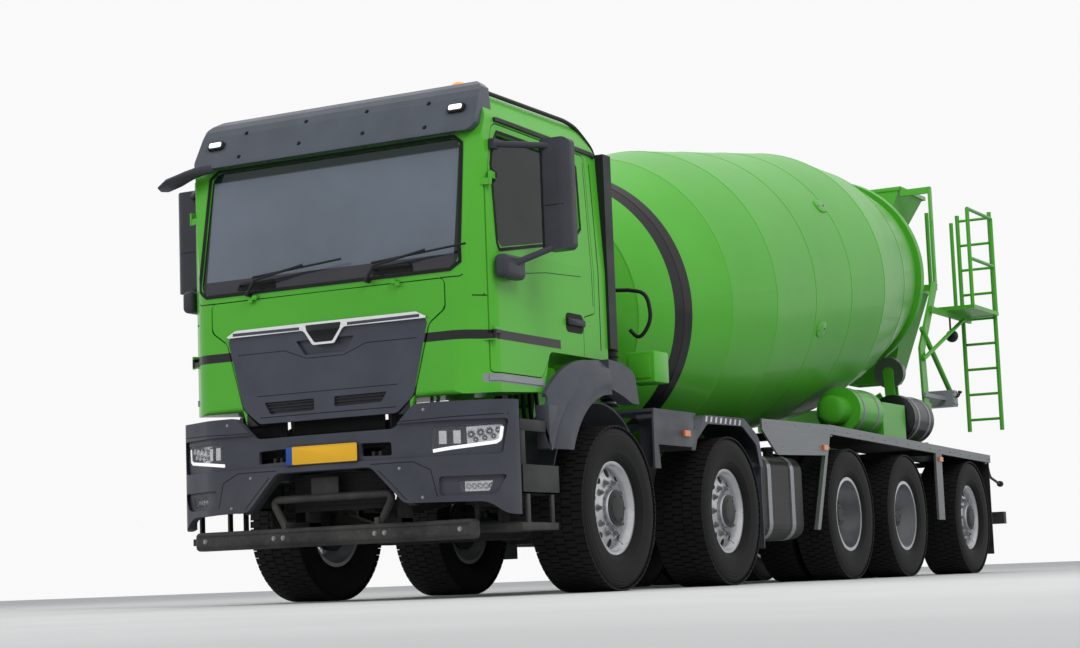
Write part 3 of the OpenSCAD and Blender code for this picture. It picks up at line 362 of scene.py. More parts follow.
def behind_guard_faces(where):
    """All but the guards' outer faces, and what hangs behind the last of them."""
    inside = 1 - where.part("X").size().rise(1.228, 1.230)
    return inside.most((where.part("Y") + MIDDLE_Y).rise(8.198, 8.200))


def between_straps(where):
    """All of the fuel tank but its two straps."""
    return 1 - where.within(y=(2.634, 2.706)).most(where.within(y=(3.094, 3.166)))


guard_alloy = metal("guard_alloy", colour(0.25, 0.265, 0.275), 0.40, black_where=behind_guard_faces)
tank_finish = metal("tank_finish", colour(0.34, 0.35, 0.37), 0.36, black_where=between_straps)
rim_alloys = [wheel_metal("rim_alloy_%d" % (i + 1), y, 0.150 if i in TWIN_AXLES else 0.112)
              for i, y in enumerate(AXLES)]
bright_trim = metal("bright_trim", colour(0.74, 0.75, 0.77), 0.10, dust=0.0)
lamp_metal = metal("lamp_metal", colour(0.80, 0.81, 0.83), 0.14, (30.0, 30.0, 30.0), dust=0.0)
bare_steel = metal("bare_steel", colour(0.36, 0.36, 0.36), 0.36)

# %% [markdown]
# Tyre rubber is dark grey and never black: its side is smooth and a little shiny, and carries
# thin moulded rings, while the tread holds pale dust. The rings follow the distance from the
# wheel's own axle, so each axle has a material with its own middle.

# %% Tyre rubber
def tyre_rubber(name, axle_y):
    material, shader, where = new_material(name)
    across = where.part("Y") - (axle_y - MIDDLE_Y)
    above = where.part("Z") - HUB_Z
    radius = (across * across + above * above) ** 0.5
    rings = (radius * 420.0).sine() * radius.band(0.33, 0.36, 0.004) \
        + (radius * 300.0).sine() * radius.band(0.455, 0.485, 0.004)
    dirt = where.noise(9.0, 6.0, 0.7).rise(0.35, 0.8) * 0.22 + radius.rise(0.516, 0.53) * 0.12
    plug(shader, Base_Color=dirt.blend(colour(0.006, 0.006, 0.0065), colour(0.034, 0.033, 0.032)),
         Roughness=0.60 + dirt * 0.4, Specular_IOR_Level=0.15, Normal=bumped(where, rings, 0.0015, 0.6))
    return material


rubber = [tyre_rubber("tyre_rubber_%d" % (i + 1), y) for i, y in enumerate(AXLES)]
print(len(rubber), "tyre materials")

# %% [markdown]
# Glass in a cab looks dark, because the room behind it is dark. A dark see-through surface with a
# clear reflection does that, and the seats still show behind it. The windscreen has a black
# printed band below and a dark shade strip above.

# %% Glass and lamps
def clear(name, tone, alpha, rough=0.03, prints=()):
    material, shader, where = new_material(name)
    film = where.noise(1.7, 4.0).rise(0.3, 0.8)
    skin, cover = film.blend(tone, shade(tone, 0.7)), alpha + film * 0.06
    for mask, ink in prints:
        printed = mask(where)
        skin, cover = printed.blend(skin, ink), cover.most(printed * 0.97)
    plug(shader, Base_Color=skin, Alpha=cover, Roughness=rough + film * 0.03,
         Specular_IOR_Level=0.30 + film * 0.1)
    return material


def lamp(name, tone, glow=0.0):
    material, shader, where = new_material(name)
    ribs = (where.part("X") * 900.0).sine() * (where.part("Z") * 900.0).sine()
    film = where.noise(12.0).rise(0.3, 0.8)
    plug(shader, Base_Color=film.blend(tone, shade(tone, 0.8)), Roughness=0.12 + film * 0.08,
         Coat_Weight=0.6 + film * 0.1, Normal=bumped(where, ribs, 0.0006, 0.5))
    if glow:
        plug(shader, Emission_Color=tone, Emission_Strength=glow)
    return material


def lower_band(where):
    return 1 - where.part("Z").rise(2.046, 2.050)


def shade_strip(where):
    return where.part("Z").rise(2.700, 2.712)


def side_bands(where):
    return where.part("X").size().rise(0.918, 0.922)


screen_prints = [(lower_band, colour(0.030, 0.030, 0.038)), (shade_strip, colour(0.006, 0.018, 0.015)),
                 (side_bands, colour(0.012, 0.013, 0.015))]
screen_glass = clear("screen_glass", colour(0.150, 0.178, 0.220), 0.80, prints=screen_prints)
door_glass = clear("door_glass", colour(0.008, 0.012, 0.012), 0.62)
lamp_cover = clear("lamp_cover", colour(0.30, 0.31, 0.33), 0.12)
smoked = clear("smoked", colour(0.010, 0.011, 0.013), 0.92)
amber_lamp = lamp("amber_lamp", colour(0.72, 0.17, 0.01))
amber_glow = lamp("amber_glow", colour(0.95, 0.28, 0.03), 0.5)
red_lamp = lamp("red_lamp", colour(0.40, 0.01, 0.01))
white_lamp = lamp("white_lamp", colour(0.70, 0.71, 0.72), 0.25)
day_light = lamp("day_light", colour(0.95, 0.97, 1.0), 0.9)
mirror_glass = metal("mirror_glass", colour(0.72, 0.74, 0.76), 0.02, dust=0.0)
print(len(bpy.data.materials), "materials")

# %% [markdown]
# The model's own pieces keep their shape and get these finishes.

# %% Finishes on the model's pieces
finishes = {
    cab_paint: ["cab_shell", "door_left", "door_right", "front_panel"],
    drum_paint: ["drum"],
    green_paint: ["front_stand", "drum_drive", "rear_stand", "hopper", "ladder_platform",
                  "chute_arm", "chute"],
    tank_paint: ["water_tanks"],
    bumper_plastic: ["bumper"],
    fender_plastic: ["front_fenders"],
    visor_plastic: ["roof_visor"],
    grille_plastic: ["grille"],
    black_plastic: ["entry_steps", "wipers", "intake_pipe"],
    mirror_plastic: ["mirror_left", "mirror_right"],
    chassis_paint: ["frame", "axle_beams", "leaf_springs", "power_unit", "underrun_bar", "rear_bar"]
    + [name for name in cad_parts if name.startswith("knuckle")],
    black_gloss: ["side_boxes"],
    tank_finish: ["fuel_tank"],
    guard_alloy: ["rear_mudguards"],
    bright_trim: ["chrome_strip"],
    bare_steel: ["roller_left", "roller_right"],
    box_paint: ["control_box"],
    trim_plastic: ["dashboard"],
    screen_glass: ["windscreen"],
    door_glass: ["door_glass_left", "door_glass_right"],
    amber_lamp: ["marker_lamps"],
}
for finish, names in finishes.items():
    for name in names:
        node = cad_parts[name]
        node.data.materials.clear()
        node.data.materials.append(finish)
print(sum(len(names) for names in finishes.values()), "model pieces finished")

# %% [markdown]
# Every new piece ends the same way: its mesh becomes an object at the origin, takes its finish
# and rides on the body that carries it. Small parts that repeat are made once and stamped.
# Parts that only touch stay separate, each with its own doubles merged. Blender's recalculation
# guesses which side of a thin or open part is its outside, so a sum over the faces of how far
# each looks away from the part's middle checks that guess.

# %% Making a piece
shapes = dict(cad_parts)                     # the model's pieces, and this script's by their own names


def separate_parts(bm):
    """The faces of each part of a mesh that hangs together by its edges."""
    seen, parts = set(), []
    for face in bm.faces:
        if face in seen:
            continue
        seen.add(face)
        part = [face]
        for member in part:                       # the list grows while it is read
            for edge in member.edges:
                fresh = [other for other in edge.link_faces if other not in seen]
                seen.update(fresh)
                part += fresh
        parts.append(part)
    return parts


def face_outwards(bm):
    """Merges doubles inside each separate part and points its faces away from its middle."""
    for part in separate_parts(bm):
        verts = list(dict.fromkeys(vert for face in part for vert in face.verts))
        bmesh.ops.remove_doubles(bm, verts=verts, dist=0.00001)
    bmesh.ops.recalc_face_normals(bm, faces=bm.faces)
    for part in separate_parts(bm):
        centres = [face.calc_center_median() for face in part]
        middle = sum(centres, Vector()) / len(part)
        swelling = sum((centre - middle).dot(face.normal) * face.calc_area()
                       for face, centre in zip(part, centres))
        if swelling < 0:
            bmesh.ops.reverse_faces(bm, faces=part)


def add_piece(name, bm, finish, body, smooth=True, stands_for=None):
    face_outwards(bm)
    mesh = bpy.data.meshes.new(name)
    bm.to_mesh(mesh)
    bm.free()
    mesh.materials.append(finish)
    made = bpy.data.objects.new(name, mesh)
    bpy.context.scene.collection.objects.link(made)
    if smooth:
        mesh.shade_smooth()
        mesh.set_sharp_from_angle(angle=radians(35))
    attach(made, body)
    if stands_for:
        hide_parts(stands_for)
    shapes[name] = made
    return made


def stamp(bm, part, places):
    """Copies a small part into bm at each of the given places."""
    mesh = bpy.data.meshes.new("stamp")
    part.to_mesh(mesh)
    for matrix in places:
        mesh.transform(matrix)
        bm.from_mesh(mesh)
        mesh.transform(matrix.inverted())
    part.free()
    bpy.data.meshes.remove(mesh)


def both_sides(bm):
    """Adds the mirror image, for what the truck has on its left and its right."""
    bmesh.ops.mirror(bm, geom=bm.verts[:] + bm.edges[:] + bm.faces[:], axis="X", merge_dist=-1)


def spun(bm, rows, steps, middle=(0, 0, 0), axis=UP, out=LEFT):
    """Spins rows of [radius, distance along the axis] once round an axis through a middle."""
    verts = [bm.verts.new(Vector(middle) + out * radius + axis * along) for radius, along in rows]
    edges = [bm.edges.new(pair) for pair in zip(verts, verts[1:])]
    bmesh.ops.spin(bm, geom=verts + edges, cent=middle, axis=axis, angle=2 * pi, steps=steps,
                   use_merge=True)


def block(bm, one, other, round_by=0.0, segments=2):
    """A box between two opposite corners, with its edges rounded."""
    size = [abs(a - b) for a, b in zip(one, other)]
    matrix = Matrix.Translation((Vector(one) + Vector(other)) / 2) @ Matrix.Diagonal((*size, 1))
    made = bmesh.ops.create_cube(bm, size=1.0, matrix=matrix)["verts"]
    if round_by:
        edges = list({edge for vert in made for edge in vert.link_edges})
        bmesh.ops.bevel(bm, geom=edges, offset=round_by, segments=segments, profile=0.5,
                        affect="EDGES", material=-1)
    return made


def oblong(half_wide, half_tall):
    return [(-half_wide, -half_tall), (half_wide, -half_tall), (half_wide, half_tall),
            (-half_wide, half_tall)]


def shifted(spot, across=0.0, along=0.0, out=0.0):
    """A frame moved by distances along its own axes."""
    return spot @ Matrix.Translation((across, along, out))


def slab(bm, outline, matrix, depth, corner=0.0, edge=0.0):
    """A plate from an outline [across, up], as thick as depth along its own Z, with rounded corners."""
    part = bmesh.new()
    part.faces.new([part.verts.new((x, y, 0)) for x, y in outline])
    if corner:
        bmesh.ops.bevel(part, geom=part.verts[:], offset=corner, segments=4, profile=0.5,
                        affect="VERTICES", material=-1)
    made = bmesh.ops.extrude_face_region(part, geom=part.faces[:])["geom"]
    front = next(item for item in made if isinstance(item, bmesh.types.BMFace))
    bmesh.ops.translate(part, verts=list(front.verts), vec=(0, 0, depth))
    if edge:
        bmesh.ops.bevel(part, geom=list(front.edges), offset=edge, segments=2, profile=0.5,
                        affect="EDGES", material=-1)
    stamp(bm, part, [matrix])


def carry(bm, frames, width, height, sides=4):
    """Extrudes a small flat section along a row of frames: a strip with 4 sides, a tube with more."""
    section = frames[0] @ Matrix.Diagonal((width, height, 1, 1))
    if sides == 4:
        made = bmesh.ops.create_grid(bm, x_segments=1, y_segments=1, size=0.5, matrix=section)
    else:
        made = bmesh.ops.create_circle(bm, cap_ends=True, segments=sides, radius=0.5, matrix=section)
    face = made["verts"][0].link_faces[0]
    for i, (before, after) in enumerate(zip(frames, frames[1:])):
        grown, inner = bmesh.ops.extrude_face_region(bm, geom=[face])["geom"], face
        face = next(item for item in grown if isinstance(item, bmesh.types.BMFace))
        bmesh.ops.transform(bm, verts=list(face.verts), matrix=after @ before.inverted())
        if i:                                     # the first face stays, as the end's cap
            bmesh.ops.delete(bm, geom=[inner], context="FACES_ONLY")


def frames_along(path, normals=None):
    """A frame at each point of a chain: Z runs along it, Y towards the normal given there."""
    frames, up_now = [], None
    for i, point in enumerate(path):
        ahead = (path[min(i + 1, len(path) - 1)] - path[max(i - 1, 0)]).normalized()
        up_now = normals[i] if normals else (up_now or ahead.orthogonal())
        up_now = (up_now - up_now.dot(ahead) * ahead).normalized()
        frames.append(Matrix.Translation(point)
                      @ Matrix((up_now.cross(ahead), up_now, ahead)).transposed().to_4x4())
    return frames


def rounded(points, bend, steps=5):
    """The chain with each inner corner turned into a small curve."""
    chain = [points[0]]
    for before, corner, after in zip(points, points[1:], points[2:]):
        start = corner + (before - corner).normalized() * min(bend, (before - corner).length / 2)
        end = corner + (after - corner).normalized() * min(bend, (after - corner).length / 2)
        chain += [start.lerp(corner, k / steps).lerp(corner.lerp(end, k / steps), k / steps)
                  for k in range(steps + 1)]
    return chain + [points[-1]]


def tube(bm, points, radius, bend=0.05, sides=12):
    path = rounded([Vector(point) for point in points], bend)
    carry(bm, frames_along(path), 2 * radius, 2 * radius, sides)


def bolt(radius, height, sides=6):
    """A bolt's head on its washer, standing along Z."""
    part = bmesh.new()
    washer = height * 0.25
    bmesh.ops.create_cone(part, cap_ends=True, segments=20, radius1=radius * 1.45, radius2=radius * 1.35,
                          depth=washer, matrix=Matrix.Translation((0, 0, washer / 2)))
    bmesh.ops.create_cone(part, cap_ends=True, segments=sides, radius1=radius, radius2=radius * 0.92,
                          depth=height, matrix=Matrix.Translation((0, 0, height * 0.5)))
    return part


# %% [markdown]
# Trim follows the surface under it. `touch` shoots a straight line at a piece of the model and
# returns where it lands and how the surface faces there; `laid` does so along a whole chain of
# points and lays a thin strip over what it finds. A chain is aimed from the front, from one
# side or from above, so it can be written with the two measures that a drawing would give.

# %% Laying trim on the model
trees = {}


def touch(node, start, aim):
    if node not in trees:
        mesh = shapes[node].data
        trees[node] = BVHTree.FromPolygons([vert.co for vert in mesh.vertices],
                                           [face.vertices for face in mesh.polygons])
    spot, normal, _, _ = trees[node].ray_cast(start, (aim - start).normalized())
    if spot is not None and normal.dot(aim - start) > 0:
        normal = -normal
    return spot, normal


def from_front(points):
    return [(place(x, -2.3, z), place(x, 0, z)) for x, z in points]


def from_side(points, sign=1):
    return [(place(sign * 1.9, y, z), place(0, y, z)) for y, z in points]


def from_top(points):
    return [(place(x, y, 3.9), place(x, y, 0)) for x, y in points]


def round_corner(z, share, steps=6):
    """Lines towards the cab's left front corner at a height, turning a share of the way to the front."""
    corner, away = place(0.90, -1.20, z), 0.8
    turns = [pi / 2 * share * k / steps for k in range(steps + 1)]
    return [(corner + away * Vector((cos(turn), -sin(turn), 0)), corner) for turn in turns]


def laid(bm, node, lines, width, proud, step=0.03, depth=0.0):
    """A thin strip on a model piece, or as far behind its surface as depth says."""
    path, normals = [], []
    for i, ((a, b), (c, d)) in enumerate(zip(lines, lines[1:])):
        near = min(0.5, 1.0 / max((a - b).length, 0.1))
        count = max(1, round((c.lerp(d, near) - a.lerp(b, near)).length / step))
        for k in range(count + (i == len(lines) - 2)):
            spot, normal = touch(node, a.lerp(c, k / count), b.lerp(d, k / count))
            if spot is not None:
                path.append(spot + normal * (proud / 2 - 0.001 - depth))
                normals.append(normal)
    carry(bm, frames_along(path, normals), width, proud)


def trim(name, node, chains, finish, body, mirrored=True):
    """One piece from several strips [lines, width, proud], laid on the same piece of the model."""
    bm = bmesh.new()
    for lines, width, proud in chains:
        laid(bm, node, lines, width, proud)
    if mirrored:
        both_sides(bm)
    add_piece(name, bm, finish, body)


def facing(spot, normal, upright=UP):
    """A frame on a surface: Z stands out of it, Y points up along it."""
    across = upright.cross(normal).normalized()
    return Matrix.Translation(spot) @ Matrix((across, normal.cross(across), normal)).transposed().to_4x4()


def on_front(node, x, z):
    return facing(*touch(node, place(x, -2.3, z), place(x, 0, z)))


def on_left(node, y, z, sign=1):
    return facing(*touch(node, place(sign * 1.9, y, z), place(0, y, z)))


print("trim tools ready")

# %% [markdown]
# A lorry tyre is a profile spun round the axle, and its tread is rows of rubber blocks on a
# slightly smaller drum, so that real grooves stay open between them. One block is cut from a
# cube and copied round by `spin` with use_duplicate. The rim is the model's own mesh without
# the plain tyre round it, and a turned cap closes each hub.

# %% Tyres and rims
TYRE_R, BEAD_R, GROOVE = 0.530, 0.300, 0.009
SINGLE_WIDE, TWIN_WIDE = 0.385, 0.300


def tyre_rows(width, middle):
    """Rows of [radius, distance along the axle] from one bead over the tread to the other."""
    half = width / 2
    side = [(BEAD_R, 0.76), (BEAD_R + 0.010, 0.83), (0.322, 0.90), (0.345, 0.935), (0.350, 0.955),
            (0.356, 0.957), (0.400, 0.993), (0.440, 1.0), (0.470, 0.985), (0.490, 0.962), (0.508, 0.925),
            (TYRE_R - GROOVE, 0.87)]
    return [(radius, middle + half * out) for radius, out in side] \
        + [(radius, middle - half * out) for radius, out in reversed(side)]


def tread(bm, width, middle, count=64):
    """Five rows of blocks: each row has its place, half its width and a block's length."""
    rows = [(-0.775, 0.20, 0.044), (-0.385, 0.175, 0.042), (0.0, 0.19, 0.040), (0.385, 0.175, 0.042),
            (0.775, 0.20, 0.044)]
    half = width / 2
    for k, (spot, reach, length) in enumerate(rows):
        x = middle + half * spot
        made = block(bm, (x - half * reach, -length / 2, TYRE_R - GROOVE - 0.004),
                     (x + half * reach, length / 2, TYRE_R - 0.0010))
        bmesh.ops.rotate(bm, verts=made, matrix=Matrix.Rotation(pi / count * (k % 2), 3, "X"))
        geometry = made + list({e for v in made for e in v.link_edges}) \
            + list({f for v in made for f in v.link_faces})
        bmesh.ops.spin(bm, geom=geometry, cent=(0, 0, 0), axis=LEFT, steps=count - 1,
                       angle=2 * pi * (count - 1) / count, use_duplicate=True)


wheels = [(axle, "wheel_%d_%s" % (axle + 1, side), sign, axle in TWIN_AXLES,
           place(sign * (TWIN_X if axle in TWIN_AXLES else SINGLE_X), y, HUB_Z))
          for axle, y in enumerate(AXLES) for side, sign in SIDES]

for axle, name, sign, twin, hub in wheels:
    wide = TWIN_WIDE if twin else SINGLE_WIDE
    bm = bmesh.new()
    for middle in ([-TWIN_PITCH / 2, TWIN_PITCH / 2] if twin else [0.0]):
        spun(bm, tyre_rows(wide, middle), 72, axis=LEFT, out=UP)
        tread(bm, wide, middle)
    bmesh.ops.translate(bm, verts=bm.verts, vec=hub)
    add_piece(name.replace("wheel", "tyre"), bm, rubber[axle], name, stands_for=name)
    bm = bmesh.new()
    bm.from_mesh(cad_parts[name].data)
    bmesh.ops.remove_doubles(bm, verts=bm.verts, dist=0.00002)
    outside = [v for v in bm.verts if Vector((v.co.y - hub.y, v.co.z - hub.z)).length > BEAD_R - 0.00015]
    bmesh.ops.delete(bm, geom=outside, context="VERTS")
    add_piece(name.replace("wheel", "rim"), bm, rim_alloys[axle], name, stands_for=name)
print("tyres and rims made")

# %% [markdown]
# Ten nuts hold each wheel, in a ring on the hub's flange. A nut is a six-sided cone with a
# stud's end standing out of it, over a turned washer. The hub's middle has a dark turned cap
# with a stepped edge; an air valve leans out beside it.

# %% Wheel nuts, hub caps and valves
NUT_RING = 0.1675
CAP_ROWS = [(0.114, 0), (0.114, 0.006), (0.106, 0.010), (0.098, 0.010), (0.092, 0.016), (0.070, 0.020),
            (0.030, 0.021), (0, 0.021)]


def ring_of(count, radius, height):
    """Places round an axle, each with Z along it."""
    return [Matrix.Rotation(2 * pi / count * k, 4, "Z") @ Matrix.Translation((0, radius, height))
            for k in range(count)]


for axle, name, sign, twin, hub in wheels:
    face, base = (0.017, 0.131) if twin else (0.112, 0.157)
    outwards = Matrix.Translation(hub) @ Matrix.Rotation(sign * pi / 2, 4, "Y")
    bm = bmesh.new()
    nut = bolt(0.017, 0.024)
    bmesh.ops.create_cone(nut, cap_ends=True, segments=10, radius1=0.010, radius2=0.009, depth=0.012,
                          matrix=Matrix.Translation((0, 0, 0.030)))
    stamp(bm, nut, [outwards @ spot for spot in ring_of(10, NUT_RING, face)])
    add_piece(name.replace("wheel", "nuts"), bm, bare_steel, name)
    bm = bmesh.new()
    cap = [(r * 0.76, h * 0.6 + 0.0845) for r, h in CAP_ROWS] if twin else CAP_ROWS
    spun(bm, [(r, base + h) for r, h in cap], 40)
    stamp(bm, bolt(0.006, 0.006), ring_of(6, *((0.061, base + 0.094) if twin else (0.080, base + 0.016))))
    bmesh.ops.transform(bm, verts=bm.verts, matrix=outwards)
    add_piece(name.replace("wheel", "hub_cap"), bm, black_plastic, name)
    bm = bmesh.new()
    tube(bm, [outwards @ Vector(point) for point in ((0.2, 0.1, face - 0.03), (0.205, 0.1, face + 0.01),
                                                     (0.235, 0.115, face + 0.03))], 0.004, 0.015, 8)
    add_piece(name.replace("wheel", "valve"), bm, bare_steel, name)
print("nuts, caps and valves made")

# %% [markdown]
# The bumper, the flap and the first mudguard are finer on the truck than in the model, so they
# are built again here in the model's own way: a curved wall stands up from a plan, and only what
# lies inside an outline seen from the front is kept. Outlines are rows of [across, up, corner].

# %% Cutting shapes to outlines
def prism(rows, depth, matrix):
    """A solid from an outline, as thick as depth along its own Z."""
    bm = bmesh.new()
    bm.faces.new([bm.verts.new((x, y, 0)) for x, y, _ in rows])
    for vert, (_, _, corner) in zip(bm.verts[:], rows):
        if corner:
            bmesh.ops.bevel(bm, geom=[vert], offset=corner, segments=6, profile=0.5, affect="VERTICES",
                            material=-1)
    grown = bmesh.ops.extrude_face_region(bm, geom=bm.faces[:])["geom"]
    bmesh.ops.translate(bm, verts=[item for item in grown if isinstance(item, bmesh.types.BMVert)],
                        vec=(0, 0, depth))
    bmesh.ops.transform(bm, verts=bm.verts, matrix=matrix)
    bmesh.ops.recalc_face_normals(bm, faces=bm.faces)
    return bm


def seen_front(rows):
    """An outline in the front end, as a solid one metre long."""
    return prism(rows, 1.0, Matrix.Translation(place(0, -1.0, 0)) @ FACING_FRONT)


def seen_side(rows, x0, x1):
    return prism(rows, x1 - x0, Matrix.Translation(place(x0, 0, 0)) @ FACING_LEFT)


def wall(plan, start, end, low, high):
    """A wall on a plan, between two distances behind its face."""
    half = max(x for x, _, _ in plan)

    def inset(distance):
        ends = (0, len(plan) - 1)
        return [(x * (1 - distance / half), y + (0 if i in ends else distance), corner)
                for i, (x, y, corner) in enumerate(plan)]

    return prism(inset(start) + inset(end)[::-1], high - low, Matrix.Translation(place(0, 0, low)))


def other_side(rows):
    return [(-x, up, corner) for x, up, corner in reversed(rows)]


def mirror_rows(rows):
    return rows + other_side(rows)


def whole_plan(half):
    """A plan from its right half, whose last point lies in the middle."""
    return half + other_side(half[:-1])


def joined(*parts):
    bm = bmesh.new()
    for part in parts:
        stamp(bm, part, [Matrix.Identity(4)])
    return bm


def both_front(*outlines):
    return joined(*[seen_front(rows) for outline in outlines for rows in (outline, other_side(outline))])


def carve(bm, *steps):
    """Applies Boolean modifiers: each step is an operation and its tool."""
    stand_ins = []
    for work in [bm] + [tool for _, tool in steps]:
        mesh = bpy.data.meshes.new("work")
        work.to_mesh(mesh)
        work.free()
        stand_ins.append(bpy.data.objects.new("work", mesh))
        bpy.context.scene.collection.objects.link(stand_ins[-1])
    for (operation, _), tool in zip(steps, stand_ins[1:]):
        modifier = stand_ins[0].modifiers.new("cut", "BOOLEAN")
        modifier.operation, modifier.object, modifier.solver = operation, tool, "EXACT"
    bpy.context.view_layer.update()
    result = bmesh.new()
    result.from_object(stand_ins[0], bpy.context.evaluated_depsgraph_get())
    for stand_in in stand_ins:
        mesh = stand_in.data
        bpy.data.objects.remove(stand_in)
        bpy.data.meshes.remove(mesh)
    return result


print("cutting tools ready")

# %% [markdown]
# The bumper has shoulders beside the flap, a face set back round the plate and the lamps, and an
# opening below the plate that narrows upwards.

# %% Bumper
BUMPER_PLAN = whole_plan([(-1.220, -1.215, 0), (-1.220, -1.305, 0.085), (-0.860, -1.480, 0.055),
                          (0, -1.510, 0.052)])
BUMPER_FACE = mirror_rows([(0.345, 0.800, 0.03), (0.455, 0.690, 0.02), (0.570, 0.572, 0.03),
                           (1.080, 0.562, 0.04), (1.190, 0.480, 0.03), (1.270, 0.480, 0), (1.270, 1.160, 0),
                           (0.655, 1.160, 0.03), (0.505, 1.020, 0.03)])
HEADLAMP = [(0.752, 0.858, 0.012), (1.148, 0.900, 0.03), (1.172, 1.018, 0.02), (0.775, 1.014, 0.012)]
FOG_LAMP = [(0.930, 0.622, 0.01), (1.080, 0.622, 0.01), (1.102, 0.690, 0.01), (0.912, 0.690, 0.01)]
SLOT = [(0.270, 0.868, 0.012), (0.488, 0.862, 0.012), (0.484, 0.942, 0.012), (0.270, 0.948, 0.012)]
PLATE_BAND = mirror_rows([(1.165, 0.838, 0.02), (1.195, 1.048, 0.02)])
FOG_POCKET = [(0.812, 0.602, 0.02), (1.130, 0.602, 0.03), (1.185, 0.716, 0.02), (0.812, 0.716, 0.02)]


def bumper_wall(start, end):
    return wall(BUMPER_PLAN, start, end, 0.40, 1.20)


def gap_outline(grow, foot):
    """The opening below the plate, grown outwards, down to a foot."""
    return mirror_rows([(0.60 + grow, foot, 0), (0.455 + grow, 0.690 + grow / 2, 0),
                        (0.345 + grow, 0.798 + grow / 3, 0)])


set_back = carve(bumper_wall(-0.004, 0.016),
                 ("INTERSECT", joined(seen_front(PLATE_BAND), both_front(FOG_POCKET))))
bm = carve(bumper_wall(0, 0.045), ("INTERSECT", seen_front(BUMPER_FACE)), ("DIFFERENCE", set_back),
           ("DIFFERENCE", both_front(HEADLAMP, FOG_LAMP, SLOT)))
for s in (-1, 1):
    block(bm, place(s * 0.4003, -1.470, 0.760), place(s * 0.420, -1.000, 0.840), 0.002)
add_piece("new_bumper", bm, bumper_plastic, "chassis", stands_for="bumper")
bm = carve(bumper_wall(0.044, 0.105), ("INTERSECT", seen_front(gap_outline(0.028, 0.560))),
           ("DIFFERENCE", seen_front(gap_outline(0.0, 0.540))))
add_piece("gap_frame", bm, black_plastic, "chassis", stands_for="bumper")

# %% [markdown]
# Dark sheets close the space behind the bumper, between the cab's tilting arms: painted shade,
# standing in for the shadow in that space. The wide ones are stiffened by ribs.

# %% Dark sheets of painted shade
# a near-black plate with ribs: painted shade in the space behind the bumper
def shade_sheet(bm, x0, x1, z0, z1, ribs=5):
    block(bm, place(x0, -1.312, z0), place(x1, -1.300, z1), 0.003)
    for k in range(ribs):
        z = z0 + (z1 - z0) * (k + 0.5) / ribs
        block(bm, place(x0 + 0.02, -1.320, z - 0.006), place(x1 - 0.02, -1.310, z + 0.006), 0.002)


bm = bmesh.new()
shade_sheet(bm, 0.425, 0.740, 0.800, 1.150)
shade_sheet(bm, 0.386, 0.426, 0.930, 1.165, ribs=0)
both_sides(bm)
shade_sheet(bm, -0.338, 0.338, 0.930, 1.165)
shade_sheet(bm, -0.338, 0.338, 0.560, 0.790)
add_piece("shade_sheets", bm, seam_rubber_and_shade, "chassis")

# %% [markdown]
# A headlamp is a clear cover over a deep dark housing. Behind the cover stand two square lenses
# and a group of faceted bowls, and a bright line runs along the foot and up the outer side.

# %% Headlamps and fog lamps
bm = carve(bumper_wall(0.018, 0.0205),
           ("INTERSECT", both_front([(x, z, 0.012) for x, z, _ in HEADLAMP], FOG_LAMP)))
add_piece("lamp_covers", bm, lamp_cover, "chassis", stands_for="headlamps")
bm = carve(bumper_wall(0.064, 0.068), ("INTERSECT", both_front(
    [(0.74, 0.84, 0), (1.16, 0.88, 0), (1.185, 1.03, 0), (0.76, 1.03, 0)],
    [(0.90, 0.60, 0), (1.10, 0.60, 0), (1.12, 0.71, 0), (0.89, 0.71, 0)])))
add_piece("lamp_backs", bm, black_plastic, "chassis", stands_for="headlamps")


def bowl(bm, spot, sides, foot, mouth, depth):
    bmesh.ops.create_cone(bm, cap_ends=False, segments=sides, radius1=foot, radius2=mouth, depth=depth,
                          matrix=spot)


lenses, glow, bowls = bmesh.new(), bmesh.new(), bmesh.new()
for x, wide in ((0.815, 0.030), (0.888, 0.028)):
    spot = on_front("lamp_backs", x, 0.948)
    slab(lenses, [(-wide, -0.048), (wide, -0.048), (wide, 0.050), (-wide, 0.050)], spot, 0.034, 0.006, 0.004)
    pane = wide * 0.78
    slab(bowls, [(-pane, -0.038), (pane, -0.038), (pane, 0.040), (-pane, 0.040)],
         shifted(spot, out=0.0335), 0.002, 0.004, 0.0008)
for x, z, radius in ((0.962, 0.962, 0.026), (1.012, 0.972, 0.025), (1.060, 0.978, 0.025),
                     (1.104, 0.984, 0.022), (0.986, 0.930, 0.018), (1.034, 0.938, 0.018),
                     (1.080, 0.946, 0.018)):
    spot = on_front("lamp_backs", x, z)
    bowl(bowls, shifted(spot, out=0.018), 9, radius * 0.35, radius, 0.034)
    bmesh.ops.create_icosphere(bowls, subdivisions=2, radius=radius * 0.4, matrix=shifted(spot, out=0.012))
laid(glow, "lamp_covers", from_front([(0.765, 0.871), (0.900, 0.8855), (1.020, 0.898), (1.120, 0.909),
                                      (1.146, 0.924), (1.155, 1.000)]), 0.020, 0.006, step=0.02, depth=0.010)
laid(bowls, "lamp_backs", from_front([(0.938, 0.956), (1.128, 0.966)]), 0.105, 0.003)
laid(bowls, "lamp_backs", from_front([(0.920, 0.656), (1.092, 0.656)]), 0.060, 0.003)
for x in (0.940, 0.970, 1.000, 1.030, 1.060, 1.085):
    bowl(bowls, shifted(on_front("lamp_backs", x, 0.656), out=0.016), 8, 0.006, 0.017, 0.030)
for bm in (lenses, glow, bowls):
    both_sides(bm)
add_piece("lamp_modules", lenses, smoked, "chassis", stands_for="headlamps")
add_piece("lamp_bowls", bowls, lamp_metal, "chassis", smooth=False, stands_for="headlamps")
add_piece("day_lights", glow, day_light, "chassis", stands_for="headlamps")
print("bumper and lamps made")

# %% [markdown]
# The flap is hinged at its top. Its green panel, dark grille and polished strip share one curved
# wall and differ in their outlines. The grille has two openings with louvres, and a hollow under
# the blank shield in the middle of the strip.

